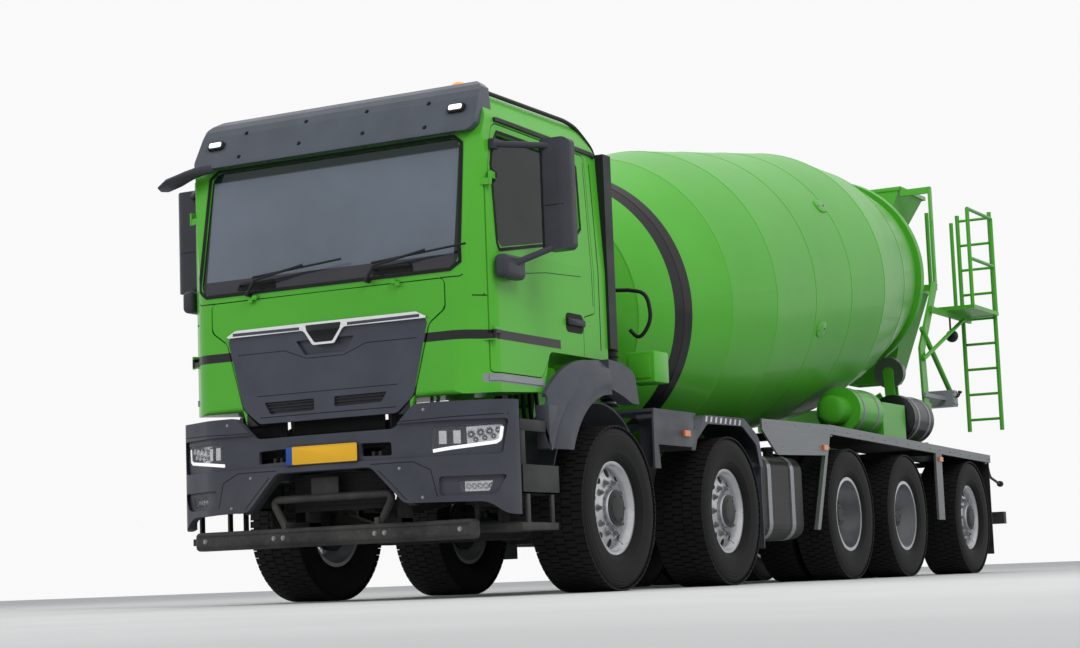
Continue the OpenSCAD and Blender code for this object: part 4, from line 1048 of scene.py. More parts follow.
# %% Flap, grille and strip
NOSE_PLAN = whole_plan([(-1.120, -1.100, 0), (-1.120, -1.250, 0.04), (-0.960, -1.430, 0.079),
                        (0, -1.445, 0.039)])
FLAP = mirror_rows([(0.505, 1.118, 0.02), (0.626, 1.216, 0.03), (0.742, 1.640, 0.03), (0.858, 1.722, 0.03),
                    (0.858, 1.900, 0.03)])
GRILLE = mirror_rows([(0.504, 1.117, 0.02), (0.627, 1.216, 0.03), (0.7385, 1.655, 0.02),
                      (0.668, 1.716, 0.01)])
STRIP = mirror_rows([(0.080, 1.576, 0.012), (0.148, 1.672, 0.02), (0.728, 1.672, 0), (0.7385, 1.682, 0),
                     (0.668, 1.716, 0)])
HOLES = [[(0.060, 1.188, 0.012), (0.398, 1.192, 0.012), (0.440, 1.252, 0.012), (0.060, 1.250, 0.012)],
         [(-0.423, 1.172, 0.012), (-0.088, 1.176, 0.012), (-0.088, 1.248, 0.012), (-0.466, 1.248, 0.012)],
         mirror_rows([(0.150, 1.520, 0.012), (0.215, 1.612, 0.012)])]
LOUVRE_TALL = 0.008


def nose(start, end):
    return wall(NOSE_PLAN, start, end, 1.00, 1.98)


def louvre(z):
    rows = [(-0.452, z, 0), (0.428, z, 0), (0.428, z + LOUVRE_TALL, 0), (-0.452, z + LOUVRE_TALL, 0)]
    return carve(nose(0.006, 0.025), ("INTERSECT", seen_front(rows)))


bm = carve(nose(0, 0.034), ("INTERSECT", seen_front(FLAP)), ("DIFFERENCE", seen_front(GRILLE)))
for s in (-1, 1):
    bmesh.ops.create_cone(bm, cap_ends=True, segments=20, radius1=0.006, radius2=0.006, depth=0.030,
                          matrix=Matrix.Translation(place(s * 0.5453, -1.454, 1.903)) @ ALONG_X)
    block(bm, place(s * 0.5303, -1.458, 1.882), place(s * 0.5603, -1.436, 1.902), 0.001)
add_piece("new_panel", bm, cab_paint, "front_flap", stands_for="front_panel")
hollows = carve(nose(-0.01, 0.024), ("INTERSECT", joined(*[seen_front(rows) for rows in HOLES])))
bm = carve(nose(0, 0.034), ("INTERSECT", seen_front(GRILLE)), ("DIFFERENCE", hollows))
add_piece("new_grille", bm, grille_plastic, "front_flap", stands_for="grille")
add_piece("louvres", joined(*[louvre(z) for z in (1.192, 1.212, 1.232)]), black_plastic, "front_flap",
          stands_for="grille")
bm = carve(nose(-0.014, -0.0003), ("INTERSECT", seen_front(STRIP)))
add_piece("new_strip", bm, bright_trim, "front_flap", stands_for="chrome_strip")
bm = carve(nose(0, 0.030),
           ("INTERSECT", both_front([(0.515, 1.108, 0), (0.600, 1.108, 0), (0.632, 1.214, 0)])))
add_piece("nose_corners", bm, cab_paint, "cab")

# %% [markdown]
# The first mudguard is turned round an axis near the wheel's: a section is spun, a second one
# makes the crown over the front, and a hollow tail runs down behind.

# %% First mudguard
def turned(rows, y, z, start, end, steps=30):
    """A closed section [radius, across] swung round an axis across the truck, forwards from the top."""
    bm = bmesh.new()
    verts = [bm.verts.new(place(across, y, z + radius)) for radius, across in rows]
    edges = [bm.edges.new((a, b)) for a, b in zip(verts, verts[1:] + verts[:1])]
    middle = place(0, y, z)
    bmesh.ops.rotate(bm, verts=verts, cent=middle, matrix=Matrix.Rotation(radians(start), 3, "X"))
    bmesh.ops.spin(bm, geom=verts + edges, cent=middle, axis=LEFT, angle=radians(end - start), steps=steps)
    bmesh.ops.holes_fill(bm, edges=bm.edges[:], sides=0)
    bmesh.ops.recalc_face_normals(bm, faces=bm.faces)
    return bm


ARCH = [(0.835, 1.134), (0.835, 1.168), (0.790, 1.220), (0.770, 1.240), (0.690, 1.258), (0.664, 1.260),
        (0.645, 1.252), (0.604, 1.254), (0.604, 1.240), (0.645, 1.238), (0.664, 1.246), (0.686, 1.244),
        (0.758, 1.226), (0.778, 1.206), (0.821, 1.162), (0.821, 1.134)]
CROWN = [(0.876, 1.134), (0.876, 1.160), (0.760, 1.238), (0.736, 1.238), (0.859, 1.154), (0.859, 1.134)]
CROWN_CLIP = [(-0.850, 0.870, 0), (-0.040, 0.870, 0), (-0.040, 1.560, 0), (-0.560, 1.560, 0),
              (-0.760, 1.290, 0.03), (-0.760, 1.190, 0.02), (-0.850, 1.080, 0.02)]
TAIL = [(-0.030, 1.300, 0), (-0.030, 1.485, 0), (0.180, 1.472, 0.03), (0.345, 1.420, 0.04), (0.400, 1.215, 0),
        (0.300, 1.215, 0.03), (0.160, 1.260, 0.03)]
ARCH_FOOT = 0.880
bm = turned(ARCH, -0.030, 0.650, 0, 74)
cut = bmesh.ops.bisect_plane(bm, geom=bm.verts[:] + bm.edges[:] + bm.faces[:], clear_outer=True,
                             plane_co=(0, 0, ARCH_FOOT), plane_no=-UP)["geom_cut"]
bmesh.ops.holes_fill(bm, edges=[item for item in cut if isinstance(item, bmesh.types.BMEdge)], sides=0)
crown = carve(turned(CROWN, -0.150, 0.600, -12, 76), ("INTERSECT", seen_side(CROWN_CLIP, 1.10, 1.30)))
bm = joined(bm, crown, seen_side(TAIL, 1.134, 1.236))
block(bm, place(1.134, -0.850, ARCH_FOOT), place(1.228, -0.730, 1.150), 0.006)
both_sides(bm)
add_piece("first_mudguards", bm, fender_plastic, "chassis", stands_for="front_fenders")

rest, away = bmesh.new(), bmesh.new()
rest.from_mesh(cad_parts["front_fenders"].data)
bmesh.ops.remove_doubles(rest, verts=rest.verts, dist=0.00002)
for s in (-1, 1):
    block(away, place(s * 1.131, -1.20, 0.50), place(s * 1.40, 0.555, 1.60))
    block(away, place(s * 1.131, 0.50, 1.2005), place(s * 1.40, 0.80, 1.60))
add_piece("other_mudguards", carve(rest, ("DIFFERENCE", away)), fender_plastic, "chassis",
          stands_for="front_fenders")

# %% [markdown]
# Steps hang behind the bumper's ends, and a rounded beam with a tube above it closes the front
# below.

# %% Steps and underrun beam
STEP_PLATES = [
    ((1.165, -1.200, 0.978), (1.215, -0.875, 1.048)), ((0.850, -1.200, 0.600), (0.870, -0.712, 0.778)),
    ((1.195, -1.200, 0.600), (1.215, -0.712, 0.778)), ((0.850, -1.200, 0.600), (1.215, -1.180, 0.778)),
    ((0.850, -0.732, 0.600), (1.215, -0.712, 0.778)), ((0.850, -1.200, 0.600), (1.215, -0.712, 0.616)),
    ((0.850, -1.210, 0.388), (1.215, -0.750, 0.432)), ((0.4003, -1.100, 0.860), (0.870, -1.040, 0.920)),
    ((0.850, -1.200, 0.860), (0.870, -1.040, 0.920)), ((0.850, -1.200, 0.777), (0.870, -1.140, 0.920)),
    ((1.195, -1.200, 0.777), (1.215, -1.140, 0.979))]
BEAM_HOLDERS = [((0.325, -1.440, 0.380), (0.355, -1.050, 0.500)),
                ((0.325, -1.180, 0.440), (0.355, -1.050, 0.7397))]
bm = bmesh.new()
for low, high in STEP_PLATES:
    block(bm, place(*low), place(*high), 0.003)
for k in range(5):
    block(bm, place(0.860, -1.140 + k * 0.090, 0.740), place(1.205, -1.115 + k * 0.090, 0.770), 0.003)
for k in range(9):
    block(bm, place(0.870, -1.195 + k * 0.048, 0.430), place(1.195, -1.183 + k * 0.048, 0.437), 0.002)
for y in (-1.140, -0.840):
    for x in (0.850, 1.199):
        block(bm, place(x, y, 0.431), place(x + 0.016, y + 0.040, 0.601), 0.002)
both_sides(bm)
add_piece("new_steps", bm, black_plastic, "chassis", stands_for="entry_steps")
bm = bmesh.new()
for low, high in BEAM_HOLDERS:
    block(bm, place(*low), place(*high), 0.002)
both_sides(bm)
block(bm, place(-1.015, -1.455, 0.345), place(1.015, -1.345, 0.462), 0.028, 5)
tube(bm, [place(-0.340, -1.400, 0.450), place(-0.448, -1.400, 0.640), place(0.448, -1.400, 0.640),
          place(0.340, -1.400, 0.450)], 0.024, 0.06)
block(bm, place(-0.150, -1.408, 0.655), place(0.050, -1.392, 0.765), 0.004)
add_piece("new_underrun", bm, chassis_paint, "chassis", stands_for="underrun_bar")
print("front end rebuilt")

# %% [markdown]
# Where pressed panels meet, a lorry's cab shows a narrow dark joint, and rubber runs round each
# pane. A few millimetres of black decide whether a cab looks pressed or carved, so each joint is
# laid on the surface: round the corner panels, under the roof's gutter and round the glass.

# %% Joints, window rubber and gutter
trim("cab_joints", "cab_shell", [
    (from_front([(0.975, 1.915), (0.955, 1.905), (0.0, 1.905)]), 0.006, 0.003),
    (from_side([(-1.310, 1.800), (-1.318, 1.790)]) + round_corner(1.790, 0.62), 0.006, 0.003),
    (from_side([(0.10, 1.56), (0.10, 2.80)]), 0.005, 0.003)], seam_rubber_and_shade, "cab")
screen_edge = [(0.0, 1.950), (0.905, 1.950), (0.964, 1.995), (0.943, 2.735), (0.885, 2.780), (0.0, 2.780)]
trim("screen_rubber", "cab_shell", [(from_front(screen_edge), 0.022, 0.006)], seam_rubber_and_shade, "cab")

WINDOW = [(-1.205, 2.071), (-0.450, 2.198), (-0.190, 2.278), (-0.104, 2.340), (-0.094, 2.750),
          (-0.150, 2.803), (-1.120, 2.813), (-1.190, 2.720), (-1.228, 2.600), (-1.228, 2.110),
          (-1.205, 2.071)]
for side, sign in SIDES:
    trim("window_rubber_" + side, "door_" + side, [
        (from_side(WINDOW, sign), 0.020, 0.005),
        (from_side([(-0.150, 2.02), (-0.620, 1.995), (-1.150, 1.930)], sign), 0.004, 0.002),
        (from_side([(0.010, 1.84), (0.005, 2.10), (0.010, 2.80)], sign), 0.004, 0.002)],
        seam_rubber_and_shade, "door_" + side, mirrored=False)
trim("gutter", "cab_shell", [(from_side([(-1.150, 2.885), (-1.120, 2.889), (0.120, 2.872), (0.168, 2.860)]),
                              0.026, 0.016)], black_plastic, "cab")

# a black tube follows the roof's edge and bends down behind the cab
line = from_top([(0.985, -1.120), (0.985, -0.74), (0.985, 0.060)])
path = [touch("cab_shell", a.lerp(c, k / 6), b.lerp(d, k / 6))[0] + Vector((0.018, 0, 0.018))
        for (a, b), (c, d) in zip(line, line[1:]) for k in range(6)]
path += [path[-1] + Vector((0, 0.15, -0.02)), place(1.055, 0.190, 2.930), place(1.060, 0.215, 2.880)]
bm = bmesh.new()
tube(bm, path, 0.014, 0.06)
both_sides(bm)
add_piece("roof_tubes", bm, black_plastic, "cab")
print("joints and rubber laid")

# %% [markdown]
# The sun visor is a smoked sheet held by two rows of screws on rubber washers, with a small
# lamp near each end. Its place comes from the model; the screws are stamped on it.

# %% Visor screws and lamps
VISOR_SCREWS = ((0.23, 3.036), (0.69, 3.020), (0.24, 2.884), (0.70, 2.856))
bm = bmesh.new()
stamp(bm, bolt(0.010, 0.007, 16),
      [on_front("roof_visor", s * x, z) for s in (1, -1) for x, z in VISOR_SCREWS])
add_piece("visor_screws", bm, seam_rubber_and_shade, "cab")
bm, lens = bmesh.new(), bmesh.new()
for s in (1, -1):
    spot = on_front("roof_visor", s * 0.905, 2.952)
    slab(bm, oblong(0.062, 0.030), spot, 0.020, 0.018, 0.006)
    slab(lens, oblong(0.046, 0.018), shifted(spot, out=0.019), 0.007, 0.010, 0.003)
add_piece("visor_lamp_cases", bm, black_plastic, "cab")
add_piece("visor_lamp_glass", lens, day_light, "cab")

# %% [markdown]
# A turning beacon is a ribbed amber dome on a black foot with a rubber skirt, made as two spun
# profiles. The ribs are narrow blades stamped round a little further out.

# %% Beacon
low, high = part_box("roof_lamps")
foot = Vector(((low.x + high.x) / 2, (low.y + high.y) / 2, low.z))
beacon_r = (high.x - low.x) / 2
bm = bmesh.new()
spun(bm, [(0, 0.0), (beacon_r, 0.0), (beacon_r, 0.010), (beacon_r - 0.006, 0.022), (beacon_r - 0.010, 0.026),
          (0, 0.026)], 36, foot)
add_piece("beacon_foot", bm, black_plastic, "cab", stands_for="roof_lamps")
bm = bmesh.new()
spun(bm, [(0, 0.026), (0.048, 0.026), (0.050, 0.032), (0.050, 0.080), (0.046, 0.096), (0.034, 0.106),
          (0, 0.110)], 36, foot)
blade = bmesh.new()
block(blade, (0.047, -0.0012, 0.034), (0.0525, 0.0012, 0.084))
stamp(bm, blade, [Matrix.Translation(foot) @ Matrix.Rotation(pi / 12 * k, 4, "Z") for k in range(24)])
add_piece("beacon_dome", bm, amber_glow, "cab", stands_for="roof_lamps")

# %% [markdown]
# Below the windscreen the black band holds two grab recesses with a bar across each, for the
# person who wipes the glass; each recess is a flat near-black plate, painted shade that stands in for its
# depth. A small mirror on an arm looks down along the cab's front from the right top corner, and the big
# mirrors get their two panes of glass each.

# %% Grab handles and mirrors
GRAB_BAR = ((-0.125, 0.006, 0), (-0.118, 0.008, 0.030), (0.118, 0.008, 0.030), (0.125, 0.006, 0))
bm, bars = bmesh.new(), bmesh.new()
for x in (-0.522, 0.490):
    spot = on_front("windscreen", x, 1.996)
    # a flat near-black plate: painted shade of the recess's depth
    slab(bm, [(-0.150, -0.026), (0.150, -0.030), (0.135, 0.028), (-0.135, 0.028)], spot, 0.003, 0.012)
    tube(bars, [spot @ Vector(point) for point in GRAB_BAR], 0.008, 0.025)
add_piece("grab_recess_shades", bm, seam_rubber_and_shade, "cab")
add_piece("grab_bars", bars, black_plastic, "cab")

arm = [place(-0.900, -1.335, 2.800), place(-0.960, -1.385, 2.790), place(-1.060, -1.395, 2.765),
       place(-1.180, -1.390, 2.735), place(-1.270, -1.380, 2.705), place(-1.295, -1.378, 2.696)]
swell = [(0.030, 0.050), (0.050, 0.070), (0.120, 0.062), (0.170, 0.056), (0.120, 0.040), (0.020, 0.014)]
bm = bmesh.new()
carry(bm, [spot @ Matrix.Diagonal((wide, tall, 1, 1))
           for spot, (wide, tall) in zip(frames_along(arm, [UP] * len(arm)), swell)], 1.0, 1.0, 20)
add_piece("front_mirror", bm, mirror_plastic, "cab")

for side, sign in SIDES:
    door = "door_" + side
    bm = bmesh.new()
    for low_z, high_z in ((2.105, 2.335), (2.365, 2.725)):
        back = Matrix.Translation(place(sign * 1.390, -0.8805, (low_z + high_z) / 2)) \
            @ Matrix.Rotation(-pi / 2, 4, "X")
        slab(bm, oblong(0.078, (high_z - low_z) / 2), back, 0.004, 0.020, 0.0015)
    add_piece("mirror_panes_" + side, bm, mirror_glass, door)
    trim("mirror_joints_" + side, "mirror_" + side, [
        (from_front([(sign * 1.300, 2.345), (sign * 1.480, 2.345)]), 0.005, 0.002),
        (from_front([(sign * 1.315, 2.10), (sign * 1.315, 2.73)]), 0.005, 0.002)],
        seam_rubber_and_shade, door, mirrored=False)
for side, sign in SIDES:
    bm = bmesh.new()
    block(bm, place(sign * 1.1205, -1.292, 1.892), place(sign * 1.215, -1.035, 2.035), 0.034, 5)
    add_piece("mirror_foot_" + side, bm, mirror_plastic, "door_" + side)
print("mirrors made")

# %% [markdown]
# The strip across the flap is polished; the dark band laid along its lower face is a painted shadow. The
# shield that hangs
# from it is left blank: a dark plate inside the polished frame.

# %% Shield, strip and flap joints
bm = bmesh.new()
slab(bm, [(-0.064, -0.070), (0.064, -0.070), (0.120, 0.004), (0.130, 0.042), (-0.130, 0.042),
          (-0.120, 0.004)], on_front("new_strip", 0.0, 1.66), 0.003, 0.008, 0.001)
add_piece("blank_shield", bm, smoked, "front_flap")
# a dark band on the strip's lower face: a painted shadow
trim("strip_shadow", "new_strip", [(from_front([(0.178, 1.686), (0.690, 1.690)]), 0.019, 0.0025)],
     grille_plastic, "front_flap")
trim("grille_joints", "new_grille", [
    (from_front([(0.660, 1.560), (0.300, 1.560), (0.220, 1.530), (0.135, 1.500), (0.0, 1.500)]),
     0.004, 0.002),
    (from_front([(0.520, 1.290), (0.0, 1.290)]), 0.004, 0.002),
    (from_front([(0.500, 1.155), (0.0, 1.155)]), 0.005, 0.002)], seam_rubber_and_shade, "front_flap")

# %% [markdown]
# The number plate is pressed aluminium with a raised rim, in a black holder with a lip. Its
# face and its narrow end panel stay blank. The same plate is made again for the rear bar.

# %% Number plates
PLATE_LEFT, PLATE_SPLIT, PLATE_RIGHT, PLATE_HALF, PLATE_THICK = -0.260, -0.214, 0.260, 0.055, 0.0022
RIM_X, RIM_Z = 0.256, 0.051


def number_plate(spot, name, body, stands_for=None):
    """A blank plate, its middle at spot and its face along spot's Z."""
    def sheet(x0, x1):
        bm = bmesh.new()
        slab(bm, oblong((x1 - x0) / 2, PLATE_HALF), shifted(spot, (x0 + x1) / 2), PLATE_THICK, 0.008, 0.0008)
        return bm

    bm = sheet(PLATE_SPLIT, PLATE_RIGHT)
    for start, end in (((PLATE_SPLIT, RIM_Z), (RIM_X, RIM_Z)), ((PLATE_SPLIT, -RIM_Z), (RIM_X, -RIM_Z)),
                       ((RIM_X, -RIM_Z), (RIM_X, RIM_Z))):
        ends = [spot @ Vector((*point, PLATE_THICK)) for point in (start, end)]
        carry(bm, frames_along(ends), 0.003, 0.003, 8)
    add_piece(name, bm, plate_yellow, body, stands_for=stands_for)
    add_piece(name + "_end", sheet(PLATE_LEFT, PLATE_SPLIT - 0.0005), plate_blue, body,
              stands_for=stands_for)
    bm = bmesh.new()
    slab(bm, oblong(0.262, 0.061), shifted(spot, 0, -0.003, -0.008), 0.008, 0.010, 0.002)
    carry(bm, frames_along([spot @ Vector((x, -0.061, 0.001)) for x in (-0.255, 0.255)]), 0.006, 0.004)
    add_piece(name + "_holder", bm, black_plastic, body, stands_for=stands_for)


number_plate(Matrix.Translation(place(0, -1.5096, 0.898)) @ FACING_FRONT, "front_plate", "chassis",
             "number_plate")
number_plate(Matrix.Translation(place(0, 8.910, 0.540)) @ FACING_REAR, "rear_plate", "chassis")

# %% [markdown]
# The bumper is painted plastic in several mouldings. Fine joints show where they meet, and
# bolts hold the bar under it.

# %% Bumper joints and bolts
trim("bumper_joints", "new_bumper", [
    (from_front([(0.345, 0.815), (0.640, 0.815), (0.760, 0.760), (0.800, 0.600)]), 0.005, 0.002),
    (from_front([(0.520, 1.060), (0.690, 1.060), (1.195, 1.075)]), 0.005, 0.002),
    (from_front([(0.590, 0.590), (0.480, 0.700), (0.400, 0.775)]), 0.005, 0.002)], seam_rubber_and_shade, "chassis")
trim("underrun_ribs", "new_underrun", [(from_front([(0.995, 0.440), (0.0, 0.440)]), 0.010, 0.006),
                                       (from_front([(0.995, 0.368), (0.0, 0.368)]), 0.008, 0.005)],
     black_plastic, "chassis")
bm = bmesh.new()
stamp(bm, bolt(0.011, 0.010), [on_front("new_underrun", s * x, 0.404) for s in (1, -1)
                               for x in (0.335, 0.405, 0.93)])
stamp(bm, bolt(0.007, 0.005, 12), [on_front("new_bumper", s * x, z) for s in (1, -1)
                                   for x, z in ((0.720, 1.120), (0.545, 0.780), (0.700, 0.600))])
add_piece("front_bolts", bm, bare_steel, "chassis")
print("bumper finished")

# %% [markdown]
# The doors' handles lie on flat dark plates, painted shade that stands in for the hollows round them, a pale
# strip runs under each door's front edge, and a hatch with a rubber seal closes the roof.

# %% Door handles, sill strips and roof hatch
for side, sign in SIDES:
    spot = on_left("door_" + side, -0.262, 1.708, sign)
    bm = bmesh.new()
    # a flat near-black plate: painted shade of the hollow round the handle
    slab(bm, oblong(0.118, 0.062), spot, 0.002, 0.036)
    add_piece("handle_shade_" + side, bm, seam_rubber_and_shade, "door_" + side)
    bm = bmesh.new()
    slab(bm, oblong(0.119, 0.022), shifted(spot, 0, 0.004, 0.004), 0.018, 0.012, 0.006)
    add_piece("handle_" + side, bm, black_plastic, "door_" + side)
trim("sill_strips", "cab_shell", [(from_side([(-1.300, 1.296), (-0.715, 1.296)]), 0.034, 0.008)], box_paint,
     "cab")
bm = bmesh.new()
roof = facing(*touch("cab_shell", place(0, -0.42, 3.9), place(0, -0.42, 0)), -BACK)
slab(bm, oblong(0.33, 0.27), shifted(roof, out=-0.008), 0.022, 0.05, 0.010)
add_piece("roof_hatch", bm, smoked, "cab")

# %% [markdown]
# Seat cushions are stuffed, so they have no flat sides: each starts as a ball, and a power below
# one pushes its surface out towards the corners of a box.

# %% Seats
SQUARENESS = 0.42


def pad(name, low, high):
    bm = bmesh.new()
    bmesh.ops.create_uvsphere(bm, u_segments=32, v_segments=20, radius=1.0)
    for vert in bm.verts:
        vert.co = Vector([(abs(c) ** SQUARENESS) * (1 if c > 0 else -1) for c in vert.co])
    half = [abs(a - b) / 2 for a, b in zip(low, high)]
    bmesh.ops.transform(bm, verts=bm.verts,
                        matrix=Matrix.Translation((low + high) / 2) @ Matrix.Diagonal((*half, 1)))
    add_piece(name, bm, seat_cloth, "cab", stands_for="seats")


for side, sign in SIDES:
    for part, low, high in (("cushion", (0.322, -0.558, 1.5615), (0.798, -0.062, 1.719)),
                            ("back", (0.332, -0.198, 1.702), (0.788, -0.062, 2.328)),
                            ("headrest", (0.422, -0.170, 2.322), (0.698, -0.080, 2.478))):
        pad("seat_%s_%s" % (part, side), place(sign * low[0], *low[1:]), place(sign * high[0], *high[1:]))
print("cab finished")

# %% [markdown]
# Along the sides: slanted white bars on the second mudguard, a cap on the tank, bolts on the
# guards' bright edge and on the frame's rails, and straps round the lying water tank.

# %% Bars, tank cap and bolts
GUARD_SLOPE = 0.0228                              # the guards' bright edge falls to the rear
bm = bmesh.new()
for k in range(8):
    slab(bm, [(-0.022, -0.020), (0.006, -0.020), (0.022, 0.020), (-0.006, 0.020)],
         Matrix.Translation(place(SIDE_X, 1.420 + 0.084 * k, 1.168)) @ FACING_LEFT, 0.001)
both_sides(bm)
add_piece("white_bars", bm, white_tape, "chassis")

cap_foot = place(1.06, 3.00, 0.960)
bm, grip = bmesh.new(), bmesh.new()
spun(bm, [(0, 0.0), (0.040, 0.0), (0.040, 0.045), (0.052, 0.047), (0.054, 0.052), (0.054, 0.072),
          (0.050, 0.078), (0, 0.080)], 28, cap_foot)
block(grip, (0.048, -0.004, 0.050), (0.058, 0.004, 0.074), 0.001)
stamp(bm, grip, [Matrix.Translation(cap_foot) @ Matrix.Rotation(pi / 6 * k, 4, "Z") for k in range(12)])
add_piece("tank_cap", bm, black_plastic, "chassis")

rail_bolts = [(0.400, -1.10 + 0.16 * k, z) for k in range(61) for z in (0.785, 0.965)]
edge_bolts = [(SIDE_X, 3.95 + 0.30 * k, 1.199 - GUARD_SLOPE * (0.135 + 0.30 * k)) for k in range(15)]
panel_bolts = [(SIDE_X, y, z) for y, z in (
    (2.52, 1.19), (2.82, 1.03), (3.10, 1.20), (3.40, 1.21), (3.60, 1.05), (3.78, 1.20), (6.54, 1.08),
    (6.64, 1.08), (6.54, 0.55), (6.64, 0.55), (3.80, 1.05), (3.66, 0.75))]
bm = bmesh.new()
for radius, height, spots in ((0.012, 0.010, rail_bolts), (0.008, 0.006, edge_bolts),
                              (0.007, 0.005, panel_bolts)):
    stamp(bm, bolt(radius, height), [Matrix.Translation(place(*spot)) @ ALONG_X for spot in spots])
both_sides(bm)
add_piece("side_bolts", bm, bare_steel, "chassis")

# %% [markdown]
# The lying water tanks are drums with domed ends. Each end is a spun row of radius and reach,
# and each strap is a narrow band spun round the drum it holds.

# %% Water tanks' straps and ends
TANK_X, TANK_Z, LARGE_R, SMALL_R = 0.905, 1.440, 0.214, 0.199
LARGE_END = [(0, 0.032), (0.120, 0.028), (0.180, 0.018), (0.208, 0.006), (LARGE_R, 0)]
GREEN_END = [(0, 0.032), (0.110, 0.028), (0.165, 0.018), (0.193, 0.006), (SMALL_R, 0)]
NARROW_END = [(0, 0.028), (0.060, 0.026), (0.100, 0.018), (0.117, 0.008), (0.121, 0)]


def strap(bm, y, radius, wide):
    spun(bm, [(radius, 0), (radius + 0.006, 0.002), (radius + 0.006, wide - 0.002), (radius, wide)], 48,
         place(TANK_X, y, TANK_Z), BACK)


def tank_end(bm, rows, y, way):
    """A domed end whose rim lies at y and which bulges forwards (-1) or backwards (1)."""
    spun(bm, [(radius, way * reach) for radius, reach in rows], 48, place(TANK_X, y, TANK_Z), BACK)


bm = bmesh.new()
for y in (6.50, 6.80):
    strap(bm, y, LARGE_R, 0.040)
for y in (5.10, 5.46):
    strap(bm, y, SMALL_R, 0.036)
add_piece("tank_straps", bm, box_paint, "chassis")
bm = bmesh.new()
tank_end(bm, LARGE_END, 6.404, -1)
tank_end(bm, LARGE_END, 6.946, 1)
add_piece("tank_ends", bm, black_gloss, "chassis")
bm = bmesh.new()
tank_end(bm, GREEN_END, 5.596, 1)
tank_end(bm, NARROW_END, 4.834, -1)
add_piece("green_tank_ends", bm, green_paint, "chassis")
print("chassis detailed")

# %% [markdown]
# Hoses and pipes fill the space behind the cab: a duct with clamps, hydraulic hoses to the
# drum's motor, and a blank box on a bracket.

# %% Hoses, duct and box behind the cab
MOTOR_PORT = (0.945, 0.90, 2.059)
DUCT_X, DUCT_Y, DUCT_TOP = 1.00, 0.44, 1.80
hose_routes = [(0.015, 0.10, [(0.20 + dx, 0.80 - 0.02 * k, 1.86), (0.24 + dx, 0.60, 1.90 - 0.03 * k),
                              (0.30 + dx, 0.50, 1.60), (0.30 + dx, 0.47 + 0.02 * k, 1.20),
                              (0.32 + dx, 0.55, 1.04)])
               for k, dx in enumerate((-0.09, -0.045, 0.0, 0.045, 0.09))]
hose_routes += [(0.014, 0.08, [MOTOR_PORT, (1.085, 0.90, 2.030), (1.118, 0.90, 1.834), (1.02, 0.90, 1.704),
                               (0.947, 0.90, 1.780)]),
                (0.014, 0.08, [MOTOR_PORT, (0.60, 0.86, 2.08), (0.20, 0.84, 2.02)])]
hose_routes += [(0.014, 0.08, [(-0.25 - dx, 0.60, 1.84), (-0.34 - dx, 0.50, 1.70), (-0.36 - dx, 0.46, 1.30),
                               (-0.34 - dx, 0.52, 1.04)]) for dx in (0.0, 0.05)]
bm = bmesh.new()
for radius, bend, route in hose_routes:
    tube(bm, [place(*point) for point in route], radius, bend)
add_piece("hoses", bm, hose_rubber, "chassis")

bm = bmesh.new()
tube(bm, [place(DUCT_X, DUCT_Y, 1.22), place(DUCT_X, DUCT_Y, 1.68), place(0.93, DUCT_Y, DUCT_TOP),
          place(0.60, DUCT_Y, DUCT_TOP)], 0.062, 0.10, 20)
for k in range(9):
    spun(bm, [(0.060, 0), (0.070, 0.010), (0.070, 0.014), (0.060, 0.024)], 24,
         place(DUCT_X, DUCT_Y, 1.26 + 0.04 * k))
add_piece("air_duct", bm, hose_rubber, "chassis")
bm = bmesh.new()
for z in (1.235, 1.635):
    spun(bm, [(0.061, 0), (0.066, 0.001), (0.066, 0.013), (0.061, 0.014)], 24, place(DUCT_X, DUCT_Y, z))
add_piece("duct_clamps", bm, bare_steel, "chassis")
bm = bmesh.new()
block(bm, place(0.955, 0.77, 1.395), place(1.185, 1.00, 1.610), 0.012)
block(bm, place(0.36, 0.86, 1.44), place(0.96, 0.90, 1.48), 0.004)
block(bm, place(0.985, 0.762, 1.425), place(1.155, 0.772, 1.580), 0.006)
add_piece("blank_box", bm, green_paint, "chassis")

# %% [markdown]
# The drum's shell is rolled from plates, and a low bead of weld shows at each joint. Two oval
# pads cover its hand holes.

# %% Weld beads and pads on the drum
DRUM_JOINTS = [(0.090, 0.880), (0.560, 1.020), (1.150, 1.150), (1.900, 1.212), (2.750, 1.212), (3.600, 1.212),
               (4.450, 1.212), (5.350, 1.095)]
BEAD = ((-0.007, -0.002), (0, 0.0028), (0.007, -0.002))
bm = bmesh.new()
for along, radius in DRUM_JOINTS:
    spun(bm, [(radius + h, along + d) for d, h in BEAD], 144, DRUM_FOOT, DRUM_AXIS)
add_piece("weld_beads", bm, drum_paint, "drum")
bm, nuts = bmesh.new(), bmesh.new()
for aim in (place(1.030, 4.480, 3.130), place(1.150, 4.040, 2.040)):
    foot = DRUM_FOOT + DRUM_AXIS * (aim - DRUM_FOOT).dot(DRUM_AXIS)
    spot = facing(*touch("drum", foot + (aim - foot) * 1.3, foot), DRUM_AXIS)
    slab(bm, oblong(0.062, 0.095), shifted(spot, out=-0.004), 0.014, 0.055, 0.004)
    stamp(nuts, bolt(0.009, 0.010), [shifted(spot, 0, s * 0.060, 0.009) for s in (-1, 1)])
add_piece("drum_pads", bm, drum_paint, "drum")
add_piece("pad_nuts", nuts, bare_steel, "drum")

# %% [markdown]
# At the rear the bins get a rim of flat bar and the chute a rolled edge.

# %% Rims of bins and chute
def rim_round(bm, half, y0, y1, top, tall=0.040, thick=0.012):
    """Four flat bars round a bin's top, outside its walls."""
    for low, high in (((-half - thick, y0 - thick), (half + thick, y0)),
                      ((-half - thick, y1), (half + thick, y1 + thick)),
                      ((-half - thick, y0 - thick), (-half, y1 + thick)),
                      ((half, y0 - thick), (half + thick, y1 + thick))):
        block(bm, place(*low, top - tall), place(*high, top - 0.0005), 0.002)


